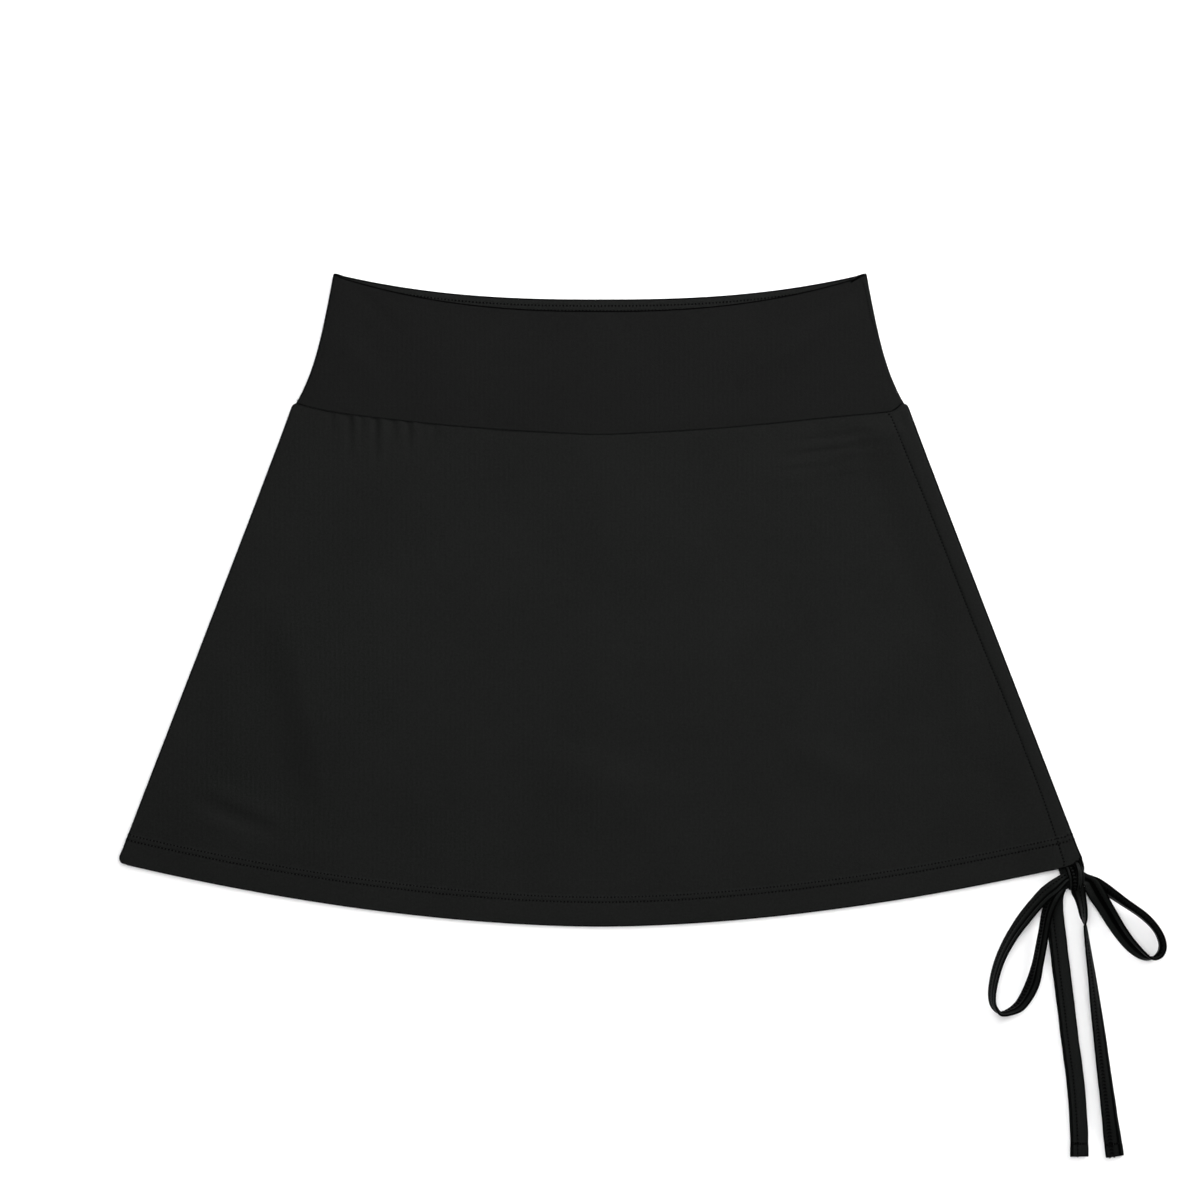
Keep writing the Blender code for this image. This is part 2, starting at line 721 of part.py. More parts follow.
def strap_section(thickness):
    """Half of the strap's cross-section runs along its width, the rest mirrors it."""
    half = STRAP_WIDTH / 2
    deep = thickness / 2
    return [
        (-half, -deep * 0.4),
        (-half + 0.6, -deep),
        (half - 0.6, -deep),
        (half, -deep * 0.4),
        (half, deep * 0.4),
        (half - 0.6, deep),
        (-half + 0.6, deep),
        (-half, deep * 0.4),
    ]


def strap_rings(rows, count):
    """Rings of the strap along a smooth route through the table's points."""
    places = [0.0]
    for before, after in zip(rows, rows[1:]):
        places.append(places[-1] + math.hypot(after.x - before.x, after.y - before.y))
    route = {name: free_curve(places, [getattr(row, name) for row in rows]) for name in ("x", "y")}
    steady = {}
    for name in ("bank", "lift", "width"):
        steady[name] = steady_curve(places, [getattr(row, name) for row in rows])
    section = strap_section(STRAP_WALL)

    def station(place):
        bank = math.radians(steady["bank"](place))
        squeeze = steady["width"](place) / STRAP_WIDTH
        high = max(side * squeeze * math.sin(bank) + deep * math.cos(bank) for side, deep in section)
        return Vector((route["x"](place), route["y"](place), FLOOR_CLEAR + steady["lift"](place) + high))

    rings = []
    for index in range(count):
        place = places[-1] * index / (count - 1)
        step = 0.4
        along = station(min(place + step, places[-1])) - station(max(place - step, 0.0))
        along.normalize()
        across = Vector((-along.y, along.x, 0.0)).normalized()
        up = along.cross(across)
        bank = math.radians(steady["bank"](place))
        wide = across * math.cos(bank) + up * math.sin(bank)
        deep = up * math.cos(bank) - across * math.sin(bank)
        squeeze = steady["width"](place) / STRAP_WIDTH
        middle = station(place)
        rings.append([middle + wide * side * squeeze + deep * depth for side, depth in section])
    return rings


def make_strap(name, rows, count, material):
    return make_loft(name, strap_rings(rows, count), material)


def make_knot(material):
    """The bow's knot: the strap wrapped twice round its own loops, seen as two bands."""
    rings = []
    points = 16
    for row in KNOT:
        ring = []
        for index in range(points):
            turn = 2 * math.pi * index / points
            side = math.copysign(abs(math.cos(turn)) ** 0.75, math.cos(turn))
            rise = math.copysign(abs(math.sin(turn)) ** 0.75, math.sin(turn))
            away = row.half_y * side
            x = row.x - KNOT_BOW * (away / KNOT_HALF) ** 2
            z = row.height / 2 * (1 + rise)
            ring.append((x, KNOT_MIDDLE_Y + away, z))
        rings.append(ring)
    return make_loft("drawstring_knot", rings, material)


def main():
    clear_scene()
    skirt_cloth = cloth_material("skirt_jersey", CLOTH_BLACK, 0.62)
    back_cloth = cloth_material("skirt_jersey_back", CLOTH_BLACK, 0.62)
    yoke_cloth = cloth_material("waistband_jersey", YOKE_BLACK, 0.62)
    yoke_lining = cloth_material("waistband_jersey_back", YOKE_BLACK, 0.62)
    casing_cloth = cloth_material("casing_jersey", CLOTH_BLACK, 0.62)
    strap_cloth = cloth_material("strap_jersey", STRAP_BLACK, 0.55)

    make_skirt_front(skirt_cloth)
    make_skirt_back(back_cloth)
    make_yoke_front(yoke_cloth)
    make_yoke_back(yoke_lining)

    square = SQUARE_CORNER
    pressed = PRESSED_CORNER
    make_channel_piece("channel_casing", 1.4, 1.6, casing_low, CASING_WALL, -0.6, square, casing_cloth)
    make_channel_piece("drawstring_run_front", -1.0, 2.9, run_front_low, RUN_WALL, 1.3, pressed, strap_cloth)
    make_channel_piece("drawstring_run_back", -0.7, 2.9, run_back_low, RUN_WALL, 1.3, square, strap_cloth)

    make_knot(strap_cloth)
    make_strap("loop_left", LOOP_LEFT, 60, strap_cloth)
    make_strap("loop_right", LOOP_RIGHT, 52, strap_cloth)
    make_strap("tail_left", TAIL_LEFT, 28, strap_cloth)
    make_strap("tail_right", TAIL_RIGHT, 34, strap_cloth)


main()
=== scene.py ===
import math
from bisect import bisect_right

import bmesh
import bpy
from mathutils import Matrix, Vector, noise


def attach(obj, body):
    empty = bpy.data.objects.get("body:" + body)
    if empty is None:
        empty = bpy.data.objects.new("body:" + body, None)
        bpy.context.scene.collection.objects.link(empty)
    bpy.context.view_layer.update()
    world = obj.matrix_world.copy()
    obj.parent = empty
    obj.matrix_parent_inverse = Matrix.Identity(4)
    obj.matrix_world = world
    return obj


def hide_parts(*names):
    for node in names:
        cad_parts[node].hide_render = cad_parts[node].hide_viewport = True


# Looks of the A-line yoga skirt, laid flat with its front up. Lengths are metres; the cloth's own
# sizes are written in millimetres and multiplied by mm where they are used.

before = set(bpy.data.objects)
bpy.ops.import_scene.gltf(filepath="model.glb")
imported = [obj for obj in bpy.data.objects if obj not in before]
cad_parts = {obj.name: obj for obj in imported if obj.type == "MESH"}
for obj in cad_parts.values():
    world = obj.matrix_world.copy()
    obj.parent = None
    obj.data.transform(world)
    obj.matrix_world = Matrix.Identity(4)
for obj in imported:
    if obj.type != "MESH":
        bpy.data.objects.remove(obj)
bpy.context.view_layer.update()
mm = 0.001
print("frame loaded:", len(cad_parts), "nodes")


# camera, floor and light

view = {
    "frameWidth": 0.744,      # what the picture shows of the floor, from side to side
    "lens": 85.0,             # mm
    "sensor": 36.0,
    "clothTop": 0.003,
}
studio = {
    "floorSize": 12.0,
    "floorBelow": 0.0004,
    "floorColour": "#f8f8f8",
    "world": "#f5f5f6",
    "worldStrength": 0.50,
}
lamps = [
    # name, place, size, watts: a softbox close above, a large one higher up, one that rakes over
    # the cloth from the right and brings out its folds, and two weak ones that fill in
    {"name": "softbox", "place": (0.05, 0.13, 1.0), "size": 0.7, "power": 9.6},
    {"name": "overhead", "place": (0.05, 0.10, 2.3), "size": 1.5, "power": 2.0},
    {"name": "rake", "place": (1.6, 1.5, 0.75), "size": 0.8, "power": 62.0},
    {"name": "left", "place": (-1.7, 0.5, 1.2), "size": 1.2, "power": 1.0},
    {"name": "near", "place": (0.2, -1.9, 1.2), "size": 1.2, "power": 1.0},
]


def makeCamera():
    data = bpy.data.cameras.new("camera")
    data.lens = view["lens"]
    data.sensor_width = view["sensor"]
    camera = bpy.data.objects.new("camera", data)
    bpy.context.collection.objects.link(camera)
    away = view["frameWidth"] * view["lens"] / view["sensor"]
    camera.location = (0.0, 0.0, view["clothTop"] + away)
    bpy.context.scene.camera = camera


def linear(hexColour):
    channels = [int(hexColour[start:start + 2], 16) / 255 for start in (1, 3, 5)]
    values = [c / 12.92 if c <= 0.04045 else ((c + 0.055) / 1.055) ** 2.4 for c in channels]
    return (*values, 1.0)


def addNode(tree, kind, settings=None, inputs=None):
    # an input's value is either a number, or another node's socket to link from
    node = tree.nodes.new(kind)
    for name, value in (settings or {}).items():
        setattr(node, name, value)
    for name, value in (inputs or {}).items():
        if isinstance(value, bpy.types.NodeSocket):
            tree.links.new(value, node.inputs[name])
        else:
            node.inputs[name].default_value = value
    return node


def newMaterial(name):
    material = bpy.data.materials.new(name)
    material.use_nodes = True
    material.node_tree.nodes.clear()
    return material, material.node_tree


def makeStudio():
    size = studio["floorSize"] / 2
    below = -studio["floorBelow"]
    corners = [(-size, -size, below), (size, -size, below), (size, size, below), (-size, size, below)]
    mesh = bpy.data.meshes.new("floor")
    mesh.from_pydata(corners, [], [(0, 1, 2, 3)])
    floor = bpy.data.objects.new("floor", mesh)
    bpy.context.collection.objects.link(floor)
    # white paper: matte, with hardly any gloss
    material, tree = newMaterial("whitePaper")
    shader = addNode(tree, "ShaderNodeBsdfPrincipled", inputs={
        "Base Color": linear(studio["floorColour"]), "Roughness": 0.9, "Specular IOR Level": 0.1,
    })
    addNode(tree, "ShaderNodeOutputMaterial", inputs={"Surface": shader.outputs[0]})
    mesh.materials.append(material)

    world = bpy.data.worlds.new("studio")
    world.use_nodes = True
    world.node_tree.nodes.clear()
    sky = addNode(world.node_tree, "ShaderNodeBackground", inputs={
        "Color": linear(studio["world"]), "Strength": studio["worldStrength"],
    })
    addNode(world.node_tree, "ShaderNodeOutputWorld", inputs={"Surface": sky.outputs[0]})
    bpy.context.scene.world = world
    bpy.context.scene.view_settings.view_transform = "Standard"

    for lamp in lamps:
        data = bpy.data.lights.new(lamp["name"], "AREA")
        data.size = lamp["size"]
        data.energy = lamp["power"]
        light = bpy.data.objects.new(lamp["name"], data)
        light.visible_camera = False
        bpy.context.collection.objects.link(light)
        light.location = lamp["place"]
        light.rotation_mode = "QUATERNION"
        light.rotation_quaternion = (-Vector(lamp["place"])).to_track_quat("-Z", "Y")


makeCamera()
makeStudio()
print("camera, floor and light made")


# materials

knit = {
    "wale": 0.00078,         # real wales are 0.5 mm apart; drawn a little coarser, so that they show
    "course": 0.00064,
    "grain": 0.0013,         # fuzz of the brushed yarn, as coarse as a pixel can show
    "patch": 0.055,          # broad uneven tone of the dyed cloth
    "bump": 0.00010,
    "sheen": 0.006,
    "edge": "#020202",       # painted shade: the near-black that edges, seams, creases and sewing are darkened towards
    "creased": 0.6,          # faces with more painted shade than this get the near-black painted-shade cloth
    "unevenRough": 0.06,     # how much the fuzz changes the roughness, up and down
}
# how the height of the knit's loops and the dye's tone are worked out: result, operation, first, second
knitSums = [
    ("wales", "DIVIDE", "x", knit["wale"]),
    ("courses", "DIVIDE", "y", knit["course"]),
    ("share", "FRACT", "wales", 0.0),
    ("centred", "SUBTRACT", "share", 0.5),
    ("leg", "ABSOLUTE", "centred", 0.0),
    ("slanted", "ADD", "courses", "leg"),
    ("turn", "MULTIPLY", "slanted", 2 * math.pi),
    ("loops", "SINE", "turn", 0.0),
    ("column", "MULTIPLY", "leg", -4.0),
    ("height", "ADD", "loops", "column"),
    ("fuzzShare", "MULTIPLY", "fuzz", 0.82),
    ("patchShare", "MULTIPLY", "patch", 0.18),
    ("tone", "ADD", "fuzzShare", "patchShare"),
]


def knitJersey(name, dark, light, roughness, gloss, onUv=True):
    # nylon and elastane jersey, dyed black and brushed: matte, with a faint bloom at low angles; its fuzz
    # scatters nearly all that a smooth filament would mirror, and a little less of it in the strap
    material, tree = newMaterial(name)
    if onUv:
        place = addNode(tree, "ShaderNodeUVMap", {"uv_map": "cut"}).outputs["UV"]
    else:
        place = addNode(tree, "ShaderNodeTexCoord").outputs["Object"]
    axes = addNode(tree, "ShaderNodeSeparateXYZ", inputs={0: place})
    fuzz = addNode(tree, "ShaderNodeTexNoise", inputs={
        "Vector": place, "Scale": 1 / knit["grain"], "Detail": 3.0, "Roughness": 0.6,
    })
    patch = addNode(tree, "ShaderNodeTexNoise", inputs={
        "Vector": place, "Scale": 1 / knit["patch"], "Detail": 2.0, "Roughness": 0.5,
    })
    sums = {
        "x": axes.outputs["X"], "y": axes.outputs["Y"],
        "fuzz": fuzz.outputs["Fac"], "patch": patch.outputs["Fac"],
    }
    for result, operation, first, second in knitSums:
        both = {0: sums[first], 1: sums.get(second, second)}
        sums[result] = addNode(tree, "ShaderNodeMath", {"operation": operation}, both).outputs[0]
    shades = addNode(tree, "ShaderNodeValToRGB", inputs={"Fac": sums["tone"]})
    for index, at, colour in ((0, 0.33, dark), (1, 0.67, light)):
        shades.color_ramp.elements[index].position = at
        shades.color_ramp.elements[index].color = linear(colour)

    # painted shade: the attribute "edge" mixes the cloth's colour towards knit["edge"] along edges, seams,
    # creases and sewing
    edge = addNode(tree, "ShaderNodeAttribute", {"attribute_name": "edge"})
    pressedOrShaded = addNode(tree, "ShaderNodeMix", {"data_type": "RGBA"}, {
        0: edge.outputs["Fac"], 6: shades.outputs[0], 7: linear(knit["edge"]),
    })

    clothRough = addNode(tree, "ShaderNodeMapRange", inputs={
        "Value": fuzz.outputs["Fac"],
        "To Min": roughness - knit["unevenRough"],
        "To Max": roughness + knit["unevenRough"],
    })
    rough = addNode(tree, "ShaderNodeMapRange", inputs={
        "Value": edge.outputs["Fac"], "To Min": clothRough.outputs[0], "To Max": 1.0,
    })
    loopBump = addNode(tree, "ShaderNodeBump", inputs={
        "Height": sums["height"], "Strength": 0.30, "Distance": knit["bump"],
    })
    fuzzBump = addNode(tree, "ShaderNodeBump", inputs={
        "Height": fuzz.outputs["Fac"], "Strength": 0.35, "Distance": knit["bump"] * 2,
        "Normal": loopBump.outputs[0],
    })
    shader = addNode(tree, "ShaderNodeBsdfPrincipled", inputs={
        "Base Color": pressedOrShaded.outputs[2],
        "Roughness": rough.outputs[0],
        "Normal": fuzzBump.outputs[0],
        "IOR": 1.5,
        "Specular IOR Level": gloss,
        "Sheen Weight": knit["sheen"],
        "Sheen Roughness": 0.55,
    })
    addNode(tree, "ShaderNodeOutputMaterial", inputs={"Surface": shader.outputs[0]})
    return material


def sewingThread(name):
    # spun polyester thread, black: two plies twisted; painted light makes it a little brighter than the
    # cloth,
    #     # lifting the shade on its round shape, and brighter still on the crowns of its plies, a painted
    #     highlight
    material, tree = newMaterial(name)
    place = addNode(tree, "ShaderNodeTexCoord")
    plies = addNode(tree, "ShaderNodeTexWave", {"bands_direction": "DIAGONAL"}, {
        "Vector": place.outputs["Object"], "Scale": 700.0, "Distortion": 1.5,
    })
    bump = addNode(tree, "ShaderNodeBump", inputs={
        "Height": plies.outputs["Fac"], "Strength": 0.4, "Distance": 0.00006,
    })
    shades = addNode(tree, "ShaderNodeValToRGB", inputs={"Fac": plies.outputs["Fac"]})
    shades.color_ramp.elements[0].color = linear("#0e0f0e")
    shades.color_ramp.elements[1].color = linear("#171817")
    shader = addNode(tree, "ShaderNodeBsdfPrincipled", inputs={
        "Base Color": shades.outputs[0],
        "Normal": bump.outputs[0],
        "Roughness": 0.55,
        "Specular IOR Level": 0.08,
    })
    addNode(tree, "ShaderNodeOutputMaterial", inputs={"Surface": shader.outputs[0]})
    return material


def needleHole(name):
    # the pit that each needle pass leaves in the jersey, drawn as a small black bead: painted shade
    material, tree = newMaterial(name)
    place = addNode(tree, "ShaderNodeTexCoord")
    fuzz = addNode(tree, "ShaderNodeTexNoise", inputs={"Vector": place.outputs["Object"], "Scale": 1500.0})
    shades = addNode(tree, "ShaderNodeValToRGB", inputs={"Fac": fuzz.outputs["Fac"]})
    shades.color_ramp.elements[0].color = linear("#010101")
    shades.color_ramp.elements[1].color = linear("#040404")
    shader = addNode(tree, "ShaderNodeBsdfPrincipled", inputs={
        "Base Color": shades.outputs[0], "Roughness": 1.0, "Specular IOR Level": 0.0,
    })
    addNode(tree, "ShaderNodeOutputMaterial", inputs={"Surface": shader.outputs[0]})
    return material


skirtCloth = knitJersey("knitJersey_skirt", "#0a0b0a", "#131413", 0.64, 0.045)
waistbandCloth = knitJersey("knitJersey_waistband", "#090909", "#101110", 0.64, 0.045)
# painted light: the back waistband's inner face gets a lighter copy of the waistband's cloth, lifting the
# shade that the front waistband casts on it
insideCloth = knitJersey("knitJersey_inside", "#0b0c0b", "#151615", 0.60, 0.045)
strapCloth = knitJersey("knitJersey_strap", "#080908", "#0f1110", 0.43, 0.042)
casingCloth = knitJersey("knitJersey_casing", "#0a0b0a", "#131413", 0.64, 0.045, onUv=False)
hiddenStrap = knitJersey("knitJersey_run", "#080908", "#0f1110", 0.43, 0.042, onUv=False)
# painted shade: a near-black cloth for faces deep in creases, at edges and along sewing, where shade falls
paintedShadeCloth = knitJersey("knitJersey_paintedShade", "#020302", "#050605", 0.95, 0.0)
thread = sewingThread("polyesterThread")
pit = needleHole("needlePit")
print("materials made")


# curves through tables

def hermite(places, values, slopes, place):
    place = min(max(place, places[0]), places[-1])
    index = min(bisect_right(places, place) - 1, len(places) - 2)
    run = places[index + 1] - places[index]
    t = (place - places[index]) / run
    start = (1 + 2 * t) * (1 - t) ** 2 * values[index] + t * (1 - t) ** 2 * run * slopes[index]
    end = t * t * (3 - 2 * t) * values[index + 1] + t * t * (t - 1) * run * slopes[index + 1]
    return start + end


def steadyCurve(places, values):
    # never swings past its points
    pitches = []
    for index in range(len(places) - 1):
        pitches.append((values[index + 1] - values[index]) / (places[index + 1] - places[index]))
    slopes = [pitches[0]]
    for before, after in zip(pitches, pitches[1:]):
        slopes.append(0.0 if before * after <= 0 else 2 * before * after / (before + after))
    slopes.append(pitches[-1])
    return lambda place: hermite(places, values, slopes, place)


def freeCurve(places, values):
    # free to swing between its points
    slopes = []
    last = len(places) - 1
    for index in range(len(places)):
        low, high = max(index - 1, 0), min(index + 1, last)
        slopes.append((values[high] - values[low]) / (places[high] - places[low]))
    return lambda place: hermite(places, values, slopes, place)


def tableCurve(rows):
    return steadyCurve([row[0] for row in rows], [row[1] for row in rows])


def smoothStep(low, high, value):
    t = min(max((value - low) / (high - low), 0.0), 1.0)
    return t * t * (3 - 2 * t)


def bell(away, half):
    return math.exp(-(away / half) ** 2)


def ripple(x, y, size, seed):
    # soft uneven waves, between -1 and 1, the same in every run
    return noise.noise(Vector((x / size, y / size, seed)))


# drawstring: loops and tails of the bow

strap = {
    "width": 0.0110,
    "wall": 0.0016,
    "floorClear": 0.00005,
    "points": 21,            # across one face, also of the knot's bands
    "cup": 0.0003,           # how far the cloth rises beside its sewing
    "rim": 0.22,             # thickness of the long edges, as a share of half the wall
    # how deep the sewing presses the cloth, as a share of half the wall, and half-width as a share of
    # half the strap: on the face and on the back
    "faceGroove": (0.5, 0.17),
    "backGroove": (0.3, 0.3),
    "foldThick": 0.55,       # how much thicker and wider the turned-in end of a tail is
    "foldWide": 0.05,
    "uneven": (0.035, 0.011, 3.1),    # of the width: share, pitch and seed
    "backCut": 0.03,         # where the back lies on the cut cloth, beside the face
    # painted shade, how dark the cloth is made: at the long edges, with the places where that starts and is
    # full;
    # along the sewing of the face and of the back, with the half-widths; and in a crease
    "edgeShade": (0.9, 0.74, 0.96),
    "faceShade": (0.5, 0.07),
    "backShade": (0.58, 0.60),
    "creaseShade": 0.95,
}
# route points: x, y, bank in degrees (0 flat, 90 on its edge), lift of the lower edge, width
loopLeftRoute = [
    (0.2862, -0.1729, 24, 0.0054, 0.0070),
    (0.2812, -0.1772, 34, 0.0046, 0.0098),
    (0.2746, -0.1830, 46, 0.0026, 0.0110),
    (0.2629, -0.1972, 50, 0.0008, 0.0110),
    (0.2542, -0.2102, 60, 0.0001, 0.0110),
    (0.2474, -0.2244, 66, 0.0, 0.0110),
    (0.2434, -0.2406, 70, 0.0, 0.0110),
    (0.2437, -0.2505, 76, 0.0, 0.0110),
    (0.2476, -0.2557, 88, 0.0, 0.0110),
    (0.2536, -0.2547, 100, 0.0, 0.0110),
    (0.2603, -0.2504, 116, 0.0, 0.0110),
    (0.2673, -0.2384, 126, 0.0, 0.0110),
    (0.2709, -0.2244, 116, 0.0002, 0.0110),
    (0.2741, -0.2062, 113, 0.0012, 0.0110),
    (0.2759, -0.1953, 116, 0.0023, 0.0110),
    (0.2789, -0.1862, 122, 0.0024, 0.0110),
    (0.2826, -0.1802, 136, 0.0024, 0.0090),
    (0.2862, -0.1772, 150, 0.0024, 0.0064),
]
loopRightRoute = [
    (0.3029, -0.1742, 6, 0.0044, 0.0086),
    (0.3046, -0.1766, 10, 0.0040, 0.0110),
    (0.3074, -0.1814, 20, 0.0030, 0.0110),
    (0.3123, -0.1892, 30, 0.0012, 0.0110),
    (0.3215, -0.2040, 43, 0.0001, 0.0110),
    (0.3292, -0.2139, 50, 0.0, 0.0110),
    (0.3367, -0.2202, 66, 0.0, 0.0110),
    (0.3420, -0.2218, 88, 0.0, 0.0110),
    (0.3467, -0.2188, 102, 0.0, 0.0110),
    (0.3479, -0.2130, 106, 0.0, 0.0110),
    (0.3447, -0.2049, 109, 0.0, 0.0110),
    (0.3371, -0.1964, 115, 0.0002, 0.0110),
    (0.3241, -0.1872, 119, 0.0008, 0.0110),
    (0.3152, -0.1809, 127, 0.0006, 0.0110),
    (0.3076, -0.1760, 146, 0.0002, 0.0090),
    (0.3023, -0.1732, 166, 0.0002, 0.0060),
]
tailLeftRoute = [
    (0.2860, -0.1786, 8, 0.0, 0.0070),
    (0.2828, -0.1839, 12, 0.0, 0.0098),
    (0.2818, -0.1910, 12, 0.0, 0.0110),
    (0.2825, -0.1990, 10, 0.0, 0.0110),
    (0.2837, -0.2081, 9, 0.0, 0.0110),
    (0.2856, -0.2244, 8, 0.0, 0.0110),
    (0.2889, -0.2505, 7, 0.0, 0.0110),
    (0.2914, -0.2716, 6, 0.0, 0.0110),
    (0.2951, -0.3001, 5, 0.0, 0.0110),
    (0.2972, -0.3286, 2, 0.0, 0.0110),
    (0.2975, -0.3453, 0, 0.0, 0.0110),
]
tailRightRoute = [
    (0.2966, -0.1811, 50, 0.0002, 0.0110),
    (0.2977, -0.1846, 61, 0.0, 0.0110),
    (0.2989, -0.1900, 70, 0.0, 0.0110),
    (0.2998, -0.1965, 79, 0.0, 0.0110),
    (0.3006, -0.2030, 106, 0.0, 0.0110),
    (0.3021, -0.2139, 114, 0.0, 0.0110),
    (0.3048, -0.2325, 124, 0.0, 0.0110),
    (0.3072, -0.2511, 135, 0.0, 0.0110),
    (0.3097, -0.2697, 143, 0.0, 0.0110),
    (0.3120, -0.2883, 149, 0.0, 0.0110),
    (0.3145, -0.3069, 155, 0.0, 0.0110),
    (0.3169, -0.3255, 167, 0.0, 0.0110),
    (0.3184, -0.3360, 177, 0.0, 0.0110),
    (0.3197, -0.3453, 180, 0.0, 0.0110),
]


def routeLengths(route):
    places = [0.0]
    for before, after in zip(route, route[1:]):
        places.append(places[-1] + math.hypot(after[0] - before[0], after[1] - before[1]))
    return places


def strapSides(stitchAt, cup, endFold, creases=()):
    # heights of the face and the back over the middle line, by the place across, -1 to 1; a crease is
    # its place across, height and half-width
    def sides(across, towardsEnd):
        hollow = cup * (across - stitchAt) ** 2
        hollow += sum(height * bell(across - at, half) for at, height, half in creases)
        folded = 1 + strap["foldThick"] * smoothStep(endFold + 0.0008, endFold, towardsEnd)
        rim = strap["rim"]
        rounding = max(0.0, 1 - abs(across) ** 5) ** 0.5
        grooves = (strap["faceGroove"], strap["backGroove"])
        pressedOrShaded = [1 - deep * bell(across - stitchAt, half) for deep, half in grooves]
        face, back = (strap["wall"] / 2 * (rim + (1 - rim) * rounding * part) * folded for part in pressedOrShaded)
        return face + hollow, -back + hollow
    return sides


def strapFrames(route, count):
    # stations on the smooth route: middle, direction across the strap, direction out of its face, width
    places = routeLengths(route)
    x, y = (freeCurve(places, [row[axis] for row in route]) for axis in (0, 1))
    bank, lift, width = (steadyCurve(places, [row[column] for row in route]) for column in (2, 3, 4))

    def middle(place):
        angle = math.radians(bank(place))
        rise = width(place) / 2 * abs(math.sin(angle)) + strap["wall"] / 2 * abs(math.cos(angle))
        return Vector((x(place), y(place), strap["floorClear"] + lift(place) + rise))

    stations = []
    step = 0.0004
    for index in range(count):
        place = places[-1] * index / (count - 1)
        way = (middle(min(place + step, places[-1])) - middle(max(place - step, 0.0))).normalized()
        level = Vector((-way.y, way.x, 0.0)).normalized()
        up = way.cross(level)
        angle = math.radians(bank(place))
        across = level * math.cos(angle) + up * math.sin(angle)
        out = up * math.cos(angle) - level * math.sin(angle)
        stations.append((middle(place), across, out, width(place), place))
    return stations


def finishMesh(name, work, materials, clothOf=None):
    # clothOf gives each point its place on the cut cloth and its share of painted shade; faces with most of
    # it get the near-black painted-shade cloth
    bmesh.ops.recalc_face_normals(work, faces=work.faces)
    if clothOf is not None:
        for face in work.faces:
            if sum(clothOf[vert][1] for vert in face.verts) > knit["creased"] * len(face.verts):
                face.material_index = len(materials)
        materials = [*materials, paintedShadeCloth]
    mesh = bpy.data.meshes.new(name)
    if clothOf is not None:
        # read before the layers are added, which makes new points of them all
        work.verts.index_update()
        given = [clothOf[vert] for vert in work.verts]
        layer = work.loops.layers.uv.new("cut")
        edge = work.verts.layers.float.new("edge")
        for vert in work.verts:
            vert[edge] = given[vert.index][1]
        for face in work.faces:
            for loop in face.loops:
                loop[layer].uv = given[loop.vert.index][0]
    work.to_mesh(mesh)
    work.free()
    for material in materials:
        mesh.materials.append(material)
    mesh.shade_smooth()
    piece = bpy.data.objects.new(name, mesh)
    bpy.context.collection.objects.link(piece)
    return piece


def strapShade(share, isBack, stitchAt, creases):
    # painted shade on the strap's cloth: in its creases, along its sewing and at its edges
    dark, starts, full = strap["edgeShade"]
    edge = dark * smoothStep(starts, full, abs(share))
    dark, half = strap["backShade"] if isBack else strap["faceShade"]
    sewn = dark * bell(share - stitchAt, half)
    folded = sum(
        strap["creaseShade"] * bell(share - at, half * 1.1) for at, height, half in creases if height < 0
    )
    return min(1.0, max(edge, sewn, folded))


def placesRound():
    # round a flat strip: its face (row 0) from edge to edge, then its back (row 1), from -1 to 1 across
    count = strap["points"]
    for row, order in enumerate((range(count), range(count - 2, 0, -1))):
        for index in order:
            yield row, -math.cos(math.pi * index / (count - 1))


def joinRings(work, rings):
    size = len(rings[0])
    for before, after in zip(rings, rings[1:]):
        for index in range(size):
            follow = (index + 1) % size
            work.faces.new((before[index], before[follow], after[follow], after[index]))


def addStrap(work, clothOf, stations, sides, stitchAt, creases=(), endFold=-1.0):
    total = stations[-1][4]
    share, pitch, seed = strap["uneven"]
    rings = []
    for middle, across, out, width, place in stations:
        towardsEnd = total - place
        widen = 1.0
        if endFold > 0:
            widen += strap["foldWide"] * smoothStep(endFold + 0.001, endFold - 0.003, towardsEnd)
        wobble = 1 + share * ripple(place, stations[0][0].x, pitch, seed)
        ring = []
        for row, side in placesRound():
            height = sides(side, towardsEnd)[row]
            point = middle + across * (side * width / 2 * widen * wobble) + out * height
            point.z = max(point.z, strap["floorClear"] / 2)
            vert = work.verts.new(point)
            flat = (side * width / 2 + (strap["backCut"] if row else 0.0), place)
            clothOf[vert] = flat, strapShade(side, row == 1, stitchAt, creases)
            ring.append(vert)
        rings.append(ring)
    joinRings(work, rings)
    work.faces.new(rings[0])
    work.faces.new(list(reversed(rings[-1])))


def makeStrap(name, piece):
    stations = strapFrames(piece["before"] + piece["route"] + piece["after"], piece["stations"])
    sides = strapSides(piece["stitchAt"], strap["cup"], piece["endFold"], piece["creases"])
    work = bmesh.new()
    clothOf = {}
    addStrap(work, clothOf, stations, sides, piece["stitchAt"], piece["creases"], piece["endFold"])
    made = finishMesh(name, work, [strapCloth], clothOf)
    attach(made, "root")
    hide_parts(piece["node"])
    path = [tuple(station[0]) for station in stations]
    length = sum((Vector(b) - Vector(a)).length for a, b in zip(path, path[1:]))
    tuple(path[0])
    print(name, "length", round(length, 4))
    return stations, sides


